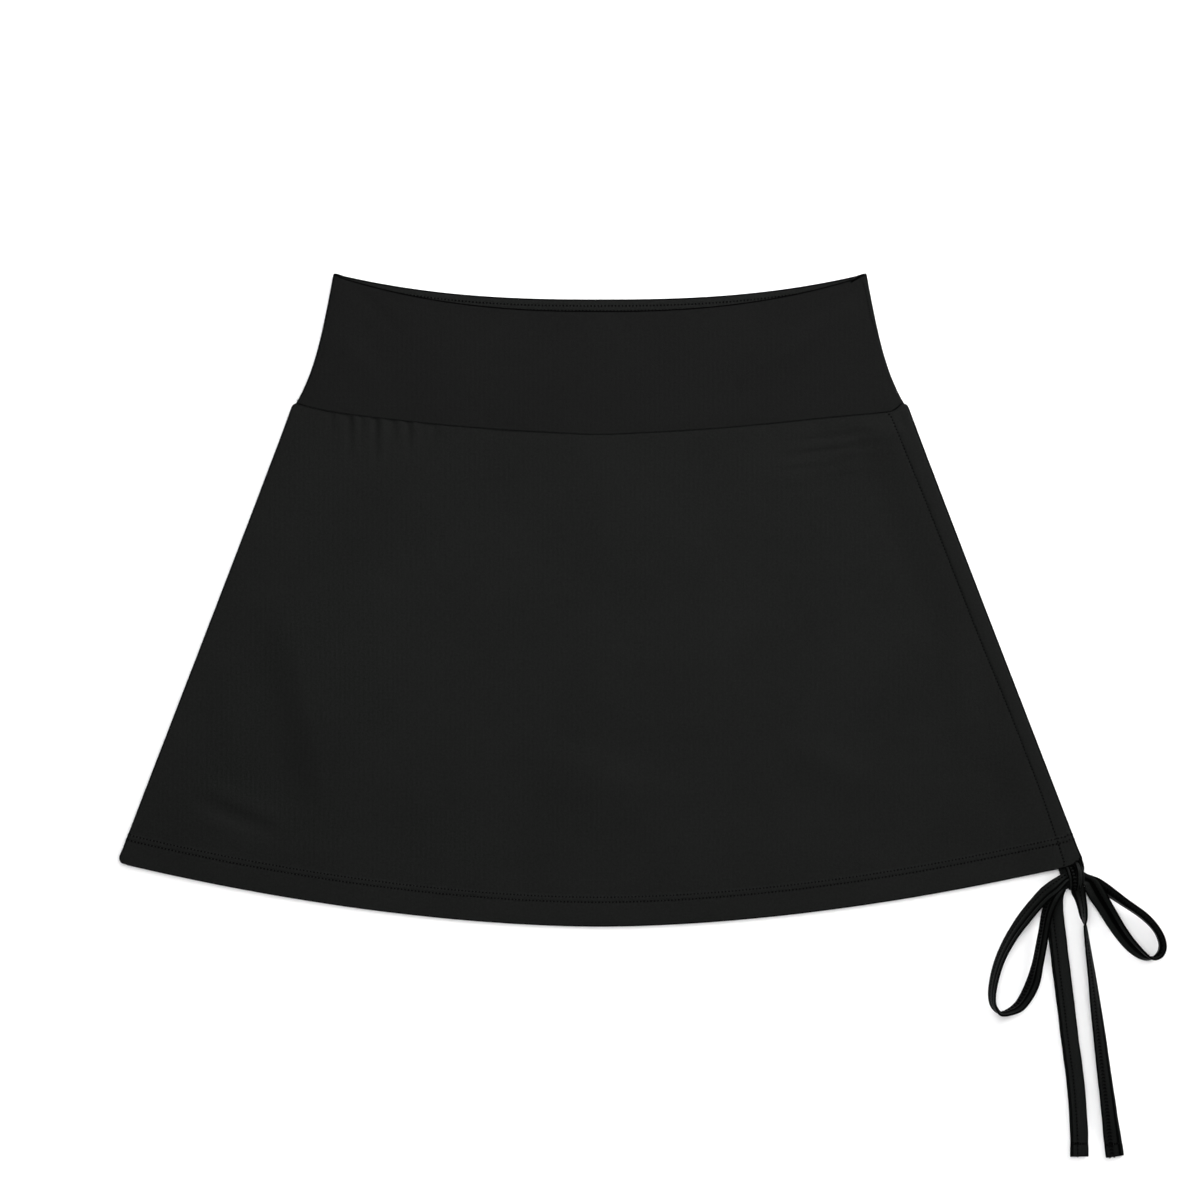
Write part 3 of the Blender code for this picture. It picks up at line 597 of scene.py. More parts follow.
bow = {
    # before and after are what each strap runs on with inside the knot; stations is how many rings it has;
    # stitchAt is the place of its sewing across, -1 to 1; a crease is its place across, height, half-width;
    # endFold is the length of a tail's turned-in end, and negative where there is none
    "loopLeft": {
        "node": "loop_left", "route": loopLeftRoute, "stations": 180, "stitchAt": -0.40,
        "before": [(0.2918, -0.1698, 14, 0.0048, 0.0056), (0.2890, -0.1711, 20, 0.0052, 0.0062)],
        "after": [(0.2890, -0.1757, 158, 0.0024, 0.0058), (0.2916, -0.1742, 160, 0.0024, 0.0056)],
        "creases": [(-0.78, 0.0003, 0.16), (0.30, -0.0006, 0.16), (0.66, 0.0003, 0.18)],
        "farEnd": "object", "endFold": -1.0,
    },
    "loopRight": {
        "node": "loop_right", "route": loopRightRoute, "stations": 150, "stitchAt": 0.30,
        "before": [(0.2974, -0.1714, 4, 0.0038, 0.0070), (0.3002, -0.1731, 4, 0.0042, 0.0072)],
        "after": [(0.2998, -0.1718, 170, 0.0002, 0.0058), (0.2974, -0.1705, 170, 0.0004, 0.0056)],
        "creases": [(-0.76, 0.0004, 0.18), (0.10, -0.0006, 0.30), (0.80, 0.0002, 0.14)],
        "farEnd": "object", "endFold": -1.0,
    },
    "tailLeft": {
        "node": "tail_left", "route": tailLeftRoute, "stations": 130, "stitchAt": -0.20,
        "before": [(0.2905, -0.1738, 10, 0.0006, 0.0056), (0.2883, -0.1760, 8, 0.0003, 0.0062)],
        "after": [],
        "creases": [(-0.74, -0.0004, 0.07), (-0.90, 0.0002, 0.08)],
        "farEnd": "bare", "endFold": 0.0078,
    },
    "tailRight": {
        "node": "tail_right", "route": tailRightRoute, "stations": 130, "stitchAt": 0.35,
        "before": [(0.2950, -0.1752, 30, 0.0010, 0.0086), (0.2960, -0.1784, 44, 0.0005, 0.0100)],
        "after": [],
        "creases": [(0.30, 0.0003, 0.22), (-0.55, -0.0002, 0.20)],
        "farEnd": "bare", "endFold": 0.0078,
    },
}


# the bow's knot: two bands wrapped round its middle, over a core, and the straps from the channel's mouth

knot = {
    "core": (0.2934, -0.1724),
    "coreHalf": (0.0056, 0.0068, 0.0042),
    "wall": 0.0016,
    "turns": 72,
    "roundness": 0.85,       # under 1 a band's round is squarer than a circle
    "rim": 0.2,              # thickness of a band's edges, as a share of half the wall
    "uneven": 0.00018,       # how high its cloth bulges
    "backCut": 0.02,         # where the back lies on the cut cloth, beside the face
    "stitchedTurns": (0.1, 3.0),      # where the sewing shows round a band, in radians
    # painted shade on the core, which lies under the bands
    "coreShade": 0.5,
    "mouthStations": 30,
    "mouthStitchAt": 0.1,
}
knotBands = {
    # middle, half-length, height and width of each band, how its ends lie off its middle (lean, bow),
    # how far it is rolled to the right in degrees, the place of its sewing across (3.0 is off the strap,
    # so it shows none), and its creases: place across, height, half-width
    "sewn": {
        "x": 0.2930, "y": -0.1722, "halfY": 0.0074, "height": 0.0098, "width": 0.0068,
        "lean": -0.0011, "bow": 0.0008, "roll": -6, "stitchAt": 0.05,
        "creases": [
            (-0.66, 0.00035, 0.14), (-0.36, -0.00035, 0.10), (0.05, 0.00015, 0.30), (0.62, -0.00040, 0.13),
        ],
    },
    "plain": {
        "x": 0.2972, "y": -0.1707, "halfY": 0.0080, "height": 0.0094, "width": 0.0056,
        "lean": -0.0004, "bow": 0.0011, "roll": 30, "stitchAt": 3.0,
        "creases": [(-0.30, 0.00030, 0.22), (0.35, -0.00028, 0.16), (0.75, 0.00020, 0.12)],
    },
}
# the straps that come out of the channel's mouth, as route points
mouthRoutes = [
    [
        (0.2948, -0.1580, 8, 0.0014, 0.0060),
        (0.2956, -0.1604, 8, 0.0012, 0.0068),
        (0.2960, -0.1630, 8, 0.0010, 0.0068),
        (0.2960, -0.1655, 8, 0.0010, 0.0066),
        (0.2952, -0.1690, 8, 0.0010, 0.0060),
    ],
    [
        (0.2962, -0.1598, 84, 0.0008, 0.0056),
        (0.2978, -0.1616, 84, 0.0006, 0.0062),
        (0.2986, -0.1642, 84, 0.0003, 0.0064),
        (0.2987, -0.1670, 84, 0.0003, 0.0064),
        (0.2980, -0.1700, 80, 0.0004, 0.0060),
    ],
    [
        (0.2918, -0.1628, 30, 0.0014, 0.0060),
        (0.2886, -0.1650, 38, 0.0012, 0.0064),
        (0.2870, -0.1672, 46, 0.0012, 0.0066),
        (0.2880, -0.1700, 50, 0.0016, 0.0060),
        (0.2904, -0.1712, 50, 0.0016, 0.0060),
    ],
]


def bandStations(band):
    stations = []
    turns = knot["turns"]
    roll = math.radians(band["roll"])
    middleHeight = band["height"] / 2

    def middle(turn):
        c, s = math.cos(turn), math.sin(turn)
        side = math.copysign(abs(c) ** knot["roundness"], c)
        rise = math.copysign(abs(s) ** knot["roundness"], s)
        x = band["x"] + band["lean"] * side - band["bow"] * side ** 2
        reach = band["halfY"] - knot["wall"] / 2
        high = middleHeight - knot["wall"] / 2 - strap["floorClear"]
        return Vector((x, band["y"] + reach * side, middleHeight + high * rise))

    for index in range(turns):
        turn = 2 * math.pi * index / turns
        way = (middle(turn + 0.02) - middle(turn - 0.02)).normalized()
        out = middle(turn) - Vector((band["x"], band["y"], middleHeight))
        out.x = 0.0
        out = (out - way * out.dot(way)).normalized()
        across = out.cross(way)
        rolled = across * math.cos(roll) - out * math.sin(roll)
        stations.append((middle(turn), rolled, out * math.cos(roll) + across * math.sin(roll), turn))
    return stations


def bandFace(band, share, turn):
    # height of the band's face over its middle line
    rounding = max(0.0, 1 - abs(share) ** 4) ** 0.5
    height = knot["wall"] / 2 * (knot["rim"] + (1 - knot["rim"]) * rounding)
    height += sum(deep * bell(share - at, half) for at, deep, half in band["creases"])
    return height + knot["uneven"] * ripple(turn * 1.6, share * 1.3, 0.9, 5.0) * rounding


def addBand(work, clothOf, band):
    rings = []
    for middle, across, out, turn in bandStations(band):
        ring = []
        for row, share in placesRound():
            height = bandFace(band, share, turn) if row == 0 else -knot["wall"] / 2
            point = middle + across * (share * band["width"] / 2) + out * height
            point.z = max(point.z, strap["floorClear"] / 2)
            vert = work.verts.new(point)
            flat = (share * band["width"] / 2 + (knot["backCut"] if row else 0.0), turn * band["halfY"])
            clothOf[vert] = flat, strapShade(share, False, band["stitchAt"], band["creases"])
            ring.append(vert)
        rings.append(ring)
    joinRings(work, rings + rings[:1])


def addCore(work, clothOf):
    # the strap's crossing under the bands, as one rounded lump
    made = bmesh.ops.create_uvsphere(work, u_segments=36, v_segments=24, radius=1.0)
    coreX, coreY = knot["core"]
    halfX, halfY, halfZ = knot["coreHalf"]
    for vert in made["verts"]:
        x, y, z = vert.co
        lumpy = 1 + 0.10 * ripple(x * 1.4, y * 1.4, 1.0, z * 1.4 + 2.0)
        vert.co = Vector((
            coreX + halfX * x * lumpy - 0.0012 * y * y,
            coreY + halfY * y * lumpy,
            halfZ + strap["floorClear"] + halfZ * z * min(lumpy, 1.0),
        ))
        # painted shade over the whole core
        clothOf[vert] = (vert.co.x, vert.co.y), knot["coreShade"]


def makeKnot():
    work = bmesh.new()
    clothOf = {}
    for band in knotBands.values():
        addBand(work, clothOf, band)
    addCore(work, clothOf)
    sewnAt = knot["mouthStitchAt"]
    for route in mouthRoutes:
        stations = strapFrames(route, knot["mouthStations"])
        addStrap(work, clothOf, stations, strapSides(sewnAt, 0.0, -1.0), sewnAt)
    piece = finishMesh("bowKnot", work, [strapCloth], clothOf)
    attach(piece, "root")
    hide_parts("drawstring_knot")
    return piece


bowKnot = makeKnot()
strapLines = {name: makeStrap(name, piece) for name, piece in bow.items()}
print("bow made")


# outline of the garment, mm

outline = {
    "gap": 0.3,
    "seamGap": 0.04,         # the shells meet closer at their seams than the solids do
    # painted shade, how dark the cloth is made: in the crease of a seam, with the distances where that starts
    # and is full; at a free edge, with its distances; and where it turns under at a side, with the angles
    "seamShade": (0.3, 0.35, 0.05),
    "rimShade": (1.05, 0.35),
    "sideShade": (0.92, 72.0, 34.0),
    "rimThick": 0.12,        # thickness of a free edge's very end, as a share of the wall
    "hemRounding": 0.75,
    "bandRounding": 0.9,
    "skirtWall": 1.0,
    "hemWall": 1.3,
    "hemDepth": 18.5,
    "bandWall": 1.6,
    "bodyAir": 1.0,
    "bandAir": 0.3,
    "sideAir": 1.0,
    "runWall": 1.1,
    "casingWall": 1.0,
    "frontTop": 179.2,
    "backTop": 186.6,
    "frontTopRise": 22.4,
    "backTopRise": 16.0,
    "waistHalf": 165.3,
    "hemCentre": -202.5,
    "hemRise": 36.3,
    "hemRiseHalf": 285.2,
    "mouthX": 288.3,
    "mouthPitch": 0.16,
    "sideSeamY": 121.9,
    "hemCornerY": -164.0,
    "channelStart": 14.0,
    "channelTop": 118.0,
    "channelSlope": 30.0,    # how far beside the channel the cloth comes down to the skirt's height
    "channelCrown": 0.45,    # share of the channel's width that is its round side
    "cloth": 0.8,            # jersey of the shells that show
    "leastAir": 0.25,        # between that and the back, at the bottom of a fold
    "bandPress": 0.9,        # how far the front waistband may be pressed into the back one's air
}
relief = {
    # low forms of the cloth. Waves: height, size and seed; rows and seams: depth and half-width, as the
    # sewing presses the cloth; puckers beside them: height, half-width, pitch and seed
    "skirtWaves": [(0.10, 34.0, 1.7), (0.04, 9.0, 2.3)],
    "bandWaves": [(0.07, 30.0, 8.1)],
    "hemRow": (0.08, 0.75),
    "hemPucker": (0.05, 3.4, 2.6, 6.0),
    "channelRow": (0.13, 0.8),
    "channelPucker": (0.10, 5.0, 3.4, 4.0),
    "rowStarts": (2.0, 6.0),      # the channel's row fades in below the waist seam
    "skirtSeam": [(0.16, 0.3), (0.17, 4.0)],
    "bandSeam": [(0.16, 0.3), (0.13, 4.0)],
    # the same on the underside, which is pressed up by underMost at most, and inside the back waistband
    "underHem": (0.30, 0.75),
    "underChannel": (0.25, 0.8),
    "underSeam": (0.35, 0.9),
    "underMost": 0.4,
    "insideRow": (0.10, 0.75),
    # half-width of a gather's trough, and the ridge beside it: share of the depth, place, half-width
    "gatherHalf": 1.9,
    "gatherRidge": (0.6, 4.2, 2.4),
}
bandSide = tableCurve([
    (121.5, 188.9), (124.0, 187.4), (130.2, 184.2), (142.6, 179.1), (161.2, 173.7), (186.0, 168.4),
    (202.5, 165.3),
])
skirtSide = tableCurve([
    (-164.2, 295.1), (-162.6, 297.5), (-160.0, 298.3), (-155.0, 296.4), (99.2, 198.9), (111.6, 194.3),
    (117.8, 192.1), (120.2, 191.1), (121.3, 190.2), (121.9, 188.9),
])
waistSeam = tableCurve([
    (-188.9, 121.9), (-170.5, 117.5), (-155.0, 115.0), (-124.0, 111.3), (-93.0, 108.2), (-62.0, 105.7),
    (-31.0, 103.9), (0.0, 102.6), (31.0, 103.9), (62.0, 105.7), (93.0, 108.2), (124.0, 111.3),
    (155.0, 114.4), (179.8, 116.9), (184.5, 118.6), (188.9, 121.9),
])
channelWidth = tableCurve([
    (-164.0, 11.2), (-140.0, 9.4), (-108.0, 8.2), (-65.0, 8.3), (-20.0, 9.2), (50.0, 9.6), (96.0, 10.6),
    (118.0, 11.2),
])
channelPuff = tableCurve([
    (-164.0, 0.4), (-140.0, 0.45), (-108.0, 0.5), (-65.0, 0.75), (-20.0, 0.85), (50.0, 0.75), (96.0, 0.45),
    (118.0, 0.3),
])
gathers = [
    # x, length and depth of each short pleat under the waist seam
    (-166.8, 13.0, 0.35), (-155.6, 26.0, 0.80), (-148.2, 13.0, 0.45), (-139.2, 31.0, 0.90),
    (-128.3, 14.0, 0.55), (-118.8, 24.0, 0.75), (-103.2, 12.0, 0.35),
]
skirtFolds = [
    # from x, y to x, y, half-width and height of each soft ridge or trough, and how many times wider
    # it is on the right of its way
    (112.0, 96.0, 190.0, 107.0, 2.2, -0.70, 1.0),
    (112.0, 92.0, 188.0, 103.5, 2.2, 0.75, 1.0),
    (108.0, 87.0, 188.0, 99.5, 2.1, -0.95, 1.0),
    (104.0, 82.5, 186.0, 96.0, 2.4, 0.90, 1.0),
    (108.0, 77.0, 185.0, 91.5, 2.2, -0.85, 1.0),
    (98.0, 72.0, 182.0, 88.0, 3.0, 0.75, 1.3),
    (100.0, 67.0, 177.0, 82.5, 2.8, -0.50, 1.6),
    (-196.0, 10.0, -162.0, -146.0, 18.0, 3.3, 3.6),
    (-236.0, -30.0, -218.0, -118.0, 14.0, 0.7, 1.6),
    (-256.0, -122.0, -196.0, -146.0, 4.0, -0.70, 1.0),
    (-250.0, -114.0, -194.0, -138.0, 6.0, 0.8, 1.0),
    (-254.0, -134.0, -200.0, -155.0, 4.0, 0.6, 1.0),
    (224.0, -16.0, 232.0, -108.0, 13.0, 2.0, 1.4),
    (110.0, -84.0, 176.0, -118.0, 13.0, 1.0, 0.7),
    (-50.0, -96.0, 60.0, -126.0, 20.0, 1.1, 0.6),
    (-40.0, 60.0, 110.0, 30.0, 40.0, 1.4, 1.0),
    (40.0, 30.0, 60.0, -90.0, 45.0, 1.1, 1.0),
]
bandFolds = [
    (12.0, 172.0, -70.0, 108.0, 26.0, 1.3, 0.45),
    (-44.0, 174.0, -122.0, 122.0, 18.0, 0.9, 0.5),
    (164.0, 196.0, 112.0, 158.0, 4.0, -0.75, 1.0),
    (160.0, 186.0, 92.0, 148.0, 5.0, 1.2, 1.8),
    (150.0, 172.0, 84.0, 134.0, 5.0, 0.95, 2.0),
    (-158.0, 198.0, -122.0, 164.0, 4.0, -0.30, 1.0),
    (-168.0, 170.0, -132.0, 128.0, 12.0, 0.5, 0.7),
]
hemRows = (15.2, 18.2)           # the twin-needle rows, above the hem's edge
bandRows = (4.1, 7.1)            # the same inside the back waistband, below its top edge


def frontTopEdge(x):
    return outline["frontTop"] + outline["frontTopRise"] * (abs(x) / outline["waistHalf"]) ** 2.4


def backTopEdge(x):
    return outline["backTop"] + outline["backTopRise"] * (abs(x) / outline["waistHalf"]) ** 2.5


def mouthLift(x):
    # the channel's mouth pulls the hem's edge up, but not its needle rows
    return outline["mouthPitch"] * max(0.0, x - outline["mouthX"])


def hemEdge(x):
    rise = outline["hemRise"] * (abs(x) / outline["hemRiseHalf"]) ** 1.8
    return outline["hemCentre"] + rise + mouthLift(x)


def foldHeight(x, y, folds):
    total = 0.0
    for x0, y0, x1, y1, half, height, spread in folds:
        alongX, alongY = x1 - x0, y1 - y0
        length = math.hypot(alongX, alongY)
        share = ((x - x0) * alongX + (y - y0) * alongY) / length ** 2
        if 0.0 < share < 1.0:
            away = ((x - x0) * alongY - (y - y0) * alongX) / length
            side = half * spread if away < 0 else half
            total += height * math.sin(math.pi * share) * bell(away, side)
    return total


def gatherHeight(x, below):
    ridge, beside, half = relief["gatherRidge"]
    total = 0.0
    for middle, length, depth in gathers:
        if below < length:
            share = 1 - below / length
            total -= depth * share ** 1.2 * bell(x - middle, relief["gatherHalf"])
            total += ridge * depth * share ** 1.2 * bell(x - middle - beside, half)
    return total


def stackWall(above):
    depth = outline["hemDepth"]
    rise = outline["hemWall"] - outline["skirtWall"]
    return outline["skirtWall"] + rise * smoothStep(depth + 1.0, depth - 1.0, above)


def leftRound(wall):
    return (2 * wall + outline["gap"] + outline["sideAir"]) / 2


def rightRound(wall, below):
    full = (2 * wall + 2 * outline["runWall"] + outline["casingWall"] + 4 * outline["gap"]) / 2
    return leftRound(wall) + (full - leftRound(wall)) * smoothStep(0.0, outline["channelStart"], below)


def waves(x, y, table):
    return sum(height * ripple(x, y, size, seed) for height, size, seed in table)


def pucker(name, away, along):
    height, half, pitch, seed = relief[name]
    return height * bell(away, half) * ripple(along, 0.0, pitch, seed)


def pressDepth(name, away):
    deep, half = relief[name]
    return deep * bell(away, half)


def seamDip(name, away):
    return sum(deep * bell(away, half) for deep, half in relief[name])


def frontHeight(x, y, fromRight, below, above, sewn):
    # sewn is the height above the hem that the needle rows are measured by
    wall = stackWall(above)
    level = 2 * wall + outline["gap"] + outline["bodyAir"]
    level += foldHeight(x, y, skirtFolds) + gatherHeight(x, below)
    level += waves(x, y, relief["skirtWaves"])
    crest = 2 * rightRound(wall, below)
    width = channelWidth(y)
    groove = crest - channelPuff(y) * smoothStep(0.0, outline["channelStart"], below)
    if fromRight > width:
        slope = 1 - smoothStep(0.0, outline["channelSlope"], fromRight - width)
        height = level + (groove - level) * slope
    else:
        crown = outline["channelCrown"]
        share = max(0.0, (fromRight / width - crown) / (1 - crown))
        height = groove + (crest - groove) * math.sqrt(max(0.0, 1 - share ** 2))
    height -= pressDepth("channelRow", fromRight - width) * smoothStep(*relief["rowStarts"], below)
    height += pucker("channelPucker", fromRight - width, y)
    for row in hemRows:
        height -= pressDepth("hemRow", sewn - row)
    height += pucker("hemPucker", sewn - sum(hemRows) / 2, x)
    height -= seamDip("skirtSeam", below)
    return max(height, outline["skirtWall"] + outline["cloth"] + outline["leastAir"])


def bandHeight(x, y, above):
    level = 2 * outline["bandWall"] + outline["gap"] + outline["bandAir"]
    level += max(-outline["bandAir"] + 0.05, foldHeight(x, y, bandFolds))
    level += waves(x, y, relief["bandWaves"])
    level -= seamDip("bandSeam", above)
    return max(level, 2 * outline["bandWall"] + outline["gap"] - outline["bandPress"])


# cloth panels: grids of outer and inner points over the outline

class Panel:
    def __init__(self, halfWidth, topEdge, bottomEdge, topHalf, bottomHalf):
        self.halfWidth = halfWidth
        self.topEdge = topEdge
        self.bottomEdge = bottomEdge
        self.ends = {side: (topEdge(side * topHalf), bottomEdge(side * bottomHalf)) for side in (-1, 1)}

    def sideY(self, side, row):
        top, bottom = self.ends[side]
        share, offset = row
        return top - share * (top - bottom) - offset

    def columnX(self, column, row):
        kind, amount = column
        left = -self.halfWidth(self.sideY(-1, row))
        right = self.halfWidth(self.sideY(1, row))
        stitched = right - channelWidth(self.sideY(1, row))
        if kind == "left":
            return left, right, left
        if kind == "right":
            return left, right, right
        if kind == "full":
            return left, right, left + amount * (right - left)
        if kind == "span":
            return left, right, left + amount * (stitched - left)
        if kind == "beside":
            return left, right, stitched - amount
        return left, right, right - amount * (right - stitched)

    def place(self, column, row):
        topY = self.topEdge(self.columnX(column, (0.0, 0.0))[2])
        bottomY = self.bottomEdge(self.columnX(column, (1.0, 0.0))[2])
        left, right, x = self.columnX(column, row)
        share, offset = row
        y = topY - share * (topY - bottomY) - offset
        return x, y, left, right, topY - y, y - bottomY

    def liftAt(self, column):
        return mouthLift(self.columnX(column, (1.0, 0.0))[2])


skirtPanel = Panel(
    skirtSide,
    lambda x: waistSeam(x) - outline["seamGap"] / 2,
    hemEdge,
    skirtSide(outline["sideSeamY"]),
    skirtSide(outline["hemCornerY"]),
)
bandFrontPanel = Panel(
    bandSide,
    frontTopEdge,
    lambda x: waistSeam(x) + outline["seamGap"] / 2,
    outline["waistHalf"],
    bandSide(outline["sideSeamY"]),
)
bandBackPanel = Panel(
    bandSide,
    backTopEdge,
    lambda x: waistSeam(x) + outline["seamGap"] / 2,
    outline["waistHalf"],
    bandSide(outline["sideSeamY"]),
)


# a point of a wall is its outer and inner place, its place on the cut cloth, and its share of painted
# shade

def roundPair(edgeX, side, y, radius, wall, angle, part):
    # on the round of a side; part is 1 above the side seam and -1 below it
    middleX = edgeX - side * radius
    pair = []
    for reach in (radius, radius - wall):
        turn = max(math.radians(angle), math.asin(min(1.0, outline["seamGap"] / 2 / reach)))
        pair.append(Vector((
            middleX + side * reach * math.cos(turn), y, radius + part * reach * math.sin(turn),
        )))
    u = middleX + side * radius * (math.pi / 2 - math.radians(angle))
    # painted shade where the cloth turns down and away at the side
    dark, starts, full = outline["sideShade"]
    return pair[0], pair[1], (u, y), dark * smoothStep(starts, full, angle)


def rimmed(wallPoint, distance, rounding):
    # the wall runs out into a round edge at a free rim, with painted shade along the rim
    outer, inner, uv, edge = wallPoint
    edge = max(edge, smoothStep(*outline["rimShade"], distance))
    if distance >= rounding:
        return outer, inner, uv, edge
    full = math.sqrt(max(0.0, 1 - (1 - distance / rounding) ** 2))
    share = 0.5 * (1 - max(full, outline["rimThick"]))
    return outer.lerp(inner, share), inner.lerp(outer, share), uv, edge


def seamed(wallPoint, distance):
    # painted shade in the crease along a seam
    outer, inner, uv, edge = wallPoint
    dark, starts, full = outline["seamShade"]
    return outer, inner, uv, max(edge, dark * smoothStep(starts, full, distance))


def skirtFrontPoint(column, row):
    x, y, left, right, below, above = skirtPanel.place(column, row)
    kind, amount = column
    wall = stackWall(above)
    cloth = outline["cloth"] + wall - outline["skirtWall"]
    if kind == "left":
        wallPoint = roundPair(left, -1, y, leftRound(wall), cloth, amount, 1)
    elif kind == "right":
        wallPoint = roundPair(right, 1, y, rightRound(wall, below), cloth, amount, 1)
    else:
        height = frontHeight(x, y, right - x, below, above, above + skirtPanel.liftAt(column))
        wallPoint = Vector((x, y, height)), Vector((x, y, height - cloth)), (x, y), 0.0
    return seamed(rimmed(wallPoint, above, outline["hemRounding"]), below)


def skirtBackPoint(column, row):
    x, y, left, right, below, above = skirtPanel.place(column, row)
    kind, amount = column
    wall = stackWall(above)
    if kind == "left":
        wallPoint = roundPair(left, -1, y, leftRound(wall), wall, amount, -1)
    elif kind == "right":
        wallPoint = roundPair(right, 1, y, rightRound(wall, below), wall, amount, -1)
    else:
        # it rests flat, pressed up a little where it is sewn
        lift = skirtPanel.liftAt(column)
        sewn = sum(pressDepth("underHem", above + lift - needleRow) for needleRow in hemRows)
        besideRow = right - x - channelWidth(y)
        sewn += pressDepth("underChannel", besideRow) * smoothStep(*relief["rowStarts"], below)
        height = min(sewn + pressDepth("underSeam", below), relief["underMost"])
        wallPoint = Vector((x, y, height)), Vector((x, y, wall)), (x, y), 0.0
    return seamed(rimmed(wallPoint, above, outline["hemRounding"]), below)


def bandPoint(panel, part):
    radius = leftRound(outline["bandWall"]) - (outline["sideAir"] - outline["bandAir"]) / 2

    def point(column, row):
        x, y, left, right, below, above = panel.place(column, row)
        kind, amount = column
        wall = outline["bandWall"]
        if kind in ("left", "right"):
            side = -1 if kind == "left" else 1
            wallPoint = roundPair(left if side < 0 else right, side, y, radius, wall, amount, part)
        elif part > 0:
            height = bandHeight(x, y, above)
            inner = max(height - wall, wall + outline["gap"])
            wallPoint = Vector((x, y, height)), Vector((x, y, inner)), (x, y), 0.0
        else:
            sewn = sum(pressDepth("insideRow", below - needleRow) for needleRow in bandRows)
            lift = pressDepth("underSeam", above)
            wallPoint = Vector((x, y, lift)), Vector((x, y, wall - sewn)), (x, y), 0.0
        return seamed(rimmed(wallPoint, below, outline["bandRounding"]), above)
    return point


allowance = {
    # the waist seam's own edge, turned up between the two waistbands
    "rows": [(2.6, 1.66), (1.0, 1.66), (0.1, 1.64), (-0.6, 1.36), (-1.3, 1.12)],    # over the seam, height
    "half": 187.9,
    "thick": 0.16,
    "points": 125,
    # painted shade on the allowance, down between the two waistbands
    "shade": 0.6,
}


def allowanceGrid():
    half, last = allowance["half"], allowance["points"] - 1
    grid = []
    for away, low in allowance["rows"]:
        line = []
        for index in range(last + 1):
            x = -half + 2 * half * index / last
            y = waistSeam(x) + away
            top = Vector((x, y, low + allowance["thick"]))
            line.append((top, Vector((x, y, low)), (x, y), allowance["shade"]))
        grid.append(line)
    return grid


def makeWall(name, grids, materials):
    # the second material, where there is one, is the inner face's
    work = bmesh.new()
    clothOf = {}
    for grid in grids:
        addWall(work, clothOf, grid, len(materials) - 1)
    piece = finishMesh(name, work, materials, clothOf)
    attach(piece, "root")
    return piece


def addWall(work, clothOf, grid, innerMaterial=0):
    skins = []
    for skin in (0, 1):
        rows = []
        for line in grid:
            verts = []
            for wallPoint in line:
                vert = work.verts.new(wallPoint[skin] * mm)
                u, v = wallPoint[2]
                clothOf[vert] = (u * mm, v * mm), wallPoint[3]
                verts.append(vert)
            rows.append(verts)
        skins.append(rows)
    outer, inner = skins
    rowCount, columnCount = len(grid), len(grid[0])
    for skin, materialIndex in ((outer, 0), (inner, innerMaterial)):
        for r in range(rowCount - 1):
            for c in range(columnCount - 1):
                face = work.faces.new((skin[r][c], skin[r][c + 1], skin[r + 1][c + 1], skin[r + 1][c]))
                face.material_index = materialIndex
    rim = [(0, c) for c in range(columnCount)]
    rim += [(r, columnCount - 1) for r in range(1, rowCount)]
    rim += [(rowCount - 1, c) for c in range(columnCount - 2, -1, -1)]
    rim += [(r, 0) for r in range(rowCount - 2, 0, -1)]
    for (r0, c0), (r1, c1) in zip(rim, rim[1:] + rim[:1]):
        work.faces.new((outer[r0][c0], inner[r0][c0], inner[r1][c1], outer[r1][c1]))


# rows and columns of the panels' grids: degrees round a side, distances from an edge or a row of
# stitches, and shares of the channel's width
sideAngles = [0, 10, 20, 31, 42, 54, 66, 78, 90]
besideChannel = [8.0, 6.2, 4.6, 3.2, 2.2, 1.4, 0.8, 0.35]
onChannel = [1.0, 0.965, 0.92, 0.87, 0.80, 0.72, 0.63, 0.54, 0.46]
fineTop = [0.0, 0.2, 0.45, 0.8, 1.3, 2.0, 3.0, 4.2, 5.6, 7.2, 9.0, 11.0, 13.2, 15.6, 18.2, 21.0, 24.0,
           27.2, 30.6, 34.2, 38.0]
fineHem = [24.0, 21.5, 20.0, 19.2, 18.7, 18.2, 17.7, 17.2, 16.7, 16.2, 15.7, 15.2, 14.7, 14.2, 13.0, 11.0,
           9.0, 7.0, 5.0, 3.4, 2.2, 1.4, 0.9, 0.6, 0.35, 0.15, 0.04, 0.0]
evenRows = (44.0, 32.0)          # the skirt's even rows start and end this far from its seam and its hem
bandTop = [0.0, 0.06, 0.2, 0.45, 0.8, 1.3, 2.2, 3.0, 3.6, 4.1, 4.6, 5.2, 6.0, 6.6, 7.1, 7.6, 8.4, 10.0]
bandLow = [6.0, 4.4, 3.2, 2.2, 1.5, 0.9, 0.5, 0.2, 0.0]


def skirtRows(step):
    # offsets below the waist seam, then even shares, then offsets above the hem
    rows = [(0.0, offset) for offset in fineTop]
    length = outline["sideSeamY"] - outline["hemCornerY"]
    first, last = evenRows[0] / length, 1 - evenRows[1] / length
    count = round((last - first) * length / step)
    rows += [(first + (last - first) * index / count, 0.0) for index in range(count + 1)]
    return rows + [(1.0, -offset) for offset in fineHem]


def spans(panel, stops):
    # columns that cross the top edge at each stretch's own spacing, as shares of the span to the channel
    half = panel.halfWidth(outline["sideSeamY"])
    span = 2 * half - channelWidth(outline["channelTop"])
    columns = []
    for start, end, step in stops:
        count = round((end - start) / step)
        columns += [("span", (start + (end - start) * index / count + half) / span) for index in range(count)]
    return columns


def skirtColumns(stops, angles):
    columns = [("left", angle) for angle in angles]
    columns += spans(skirtPanel, stops)
    columns += [("beside", away) for away in besideChannel]
    columns += [("channel", share) for share in onChannel]
    return columns + [("right", angle) for angle in reversed(angles)]


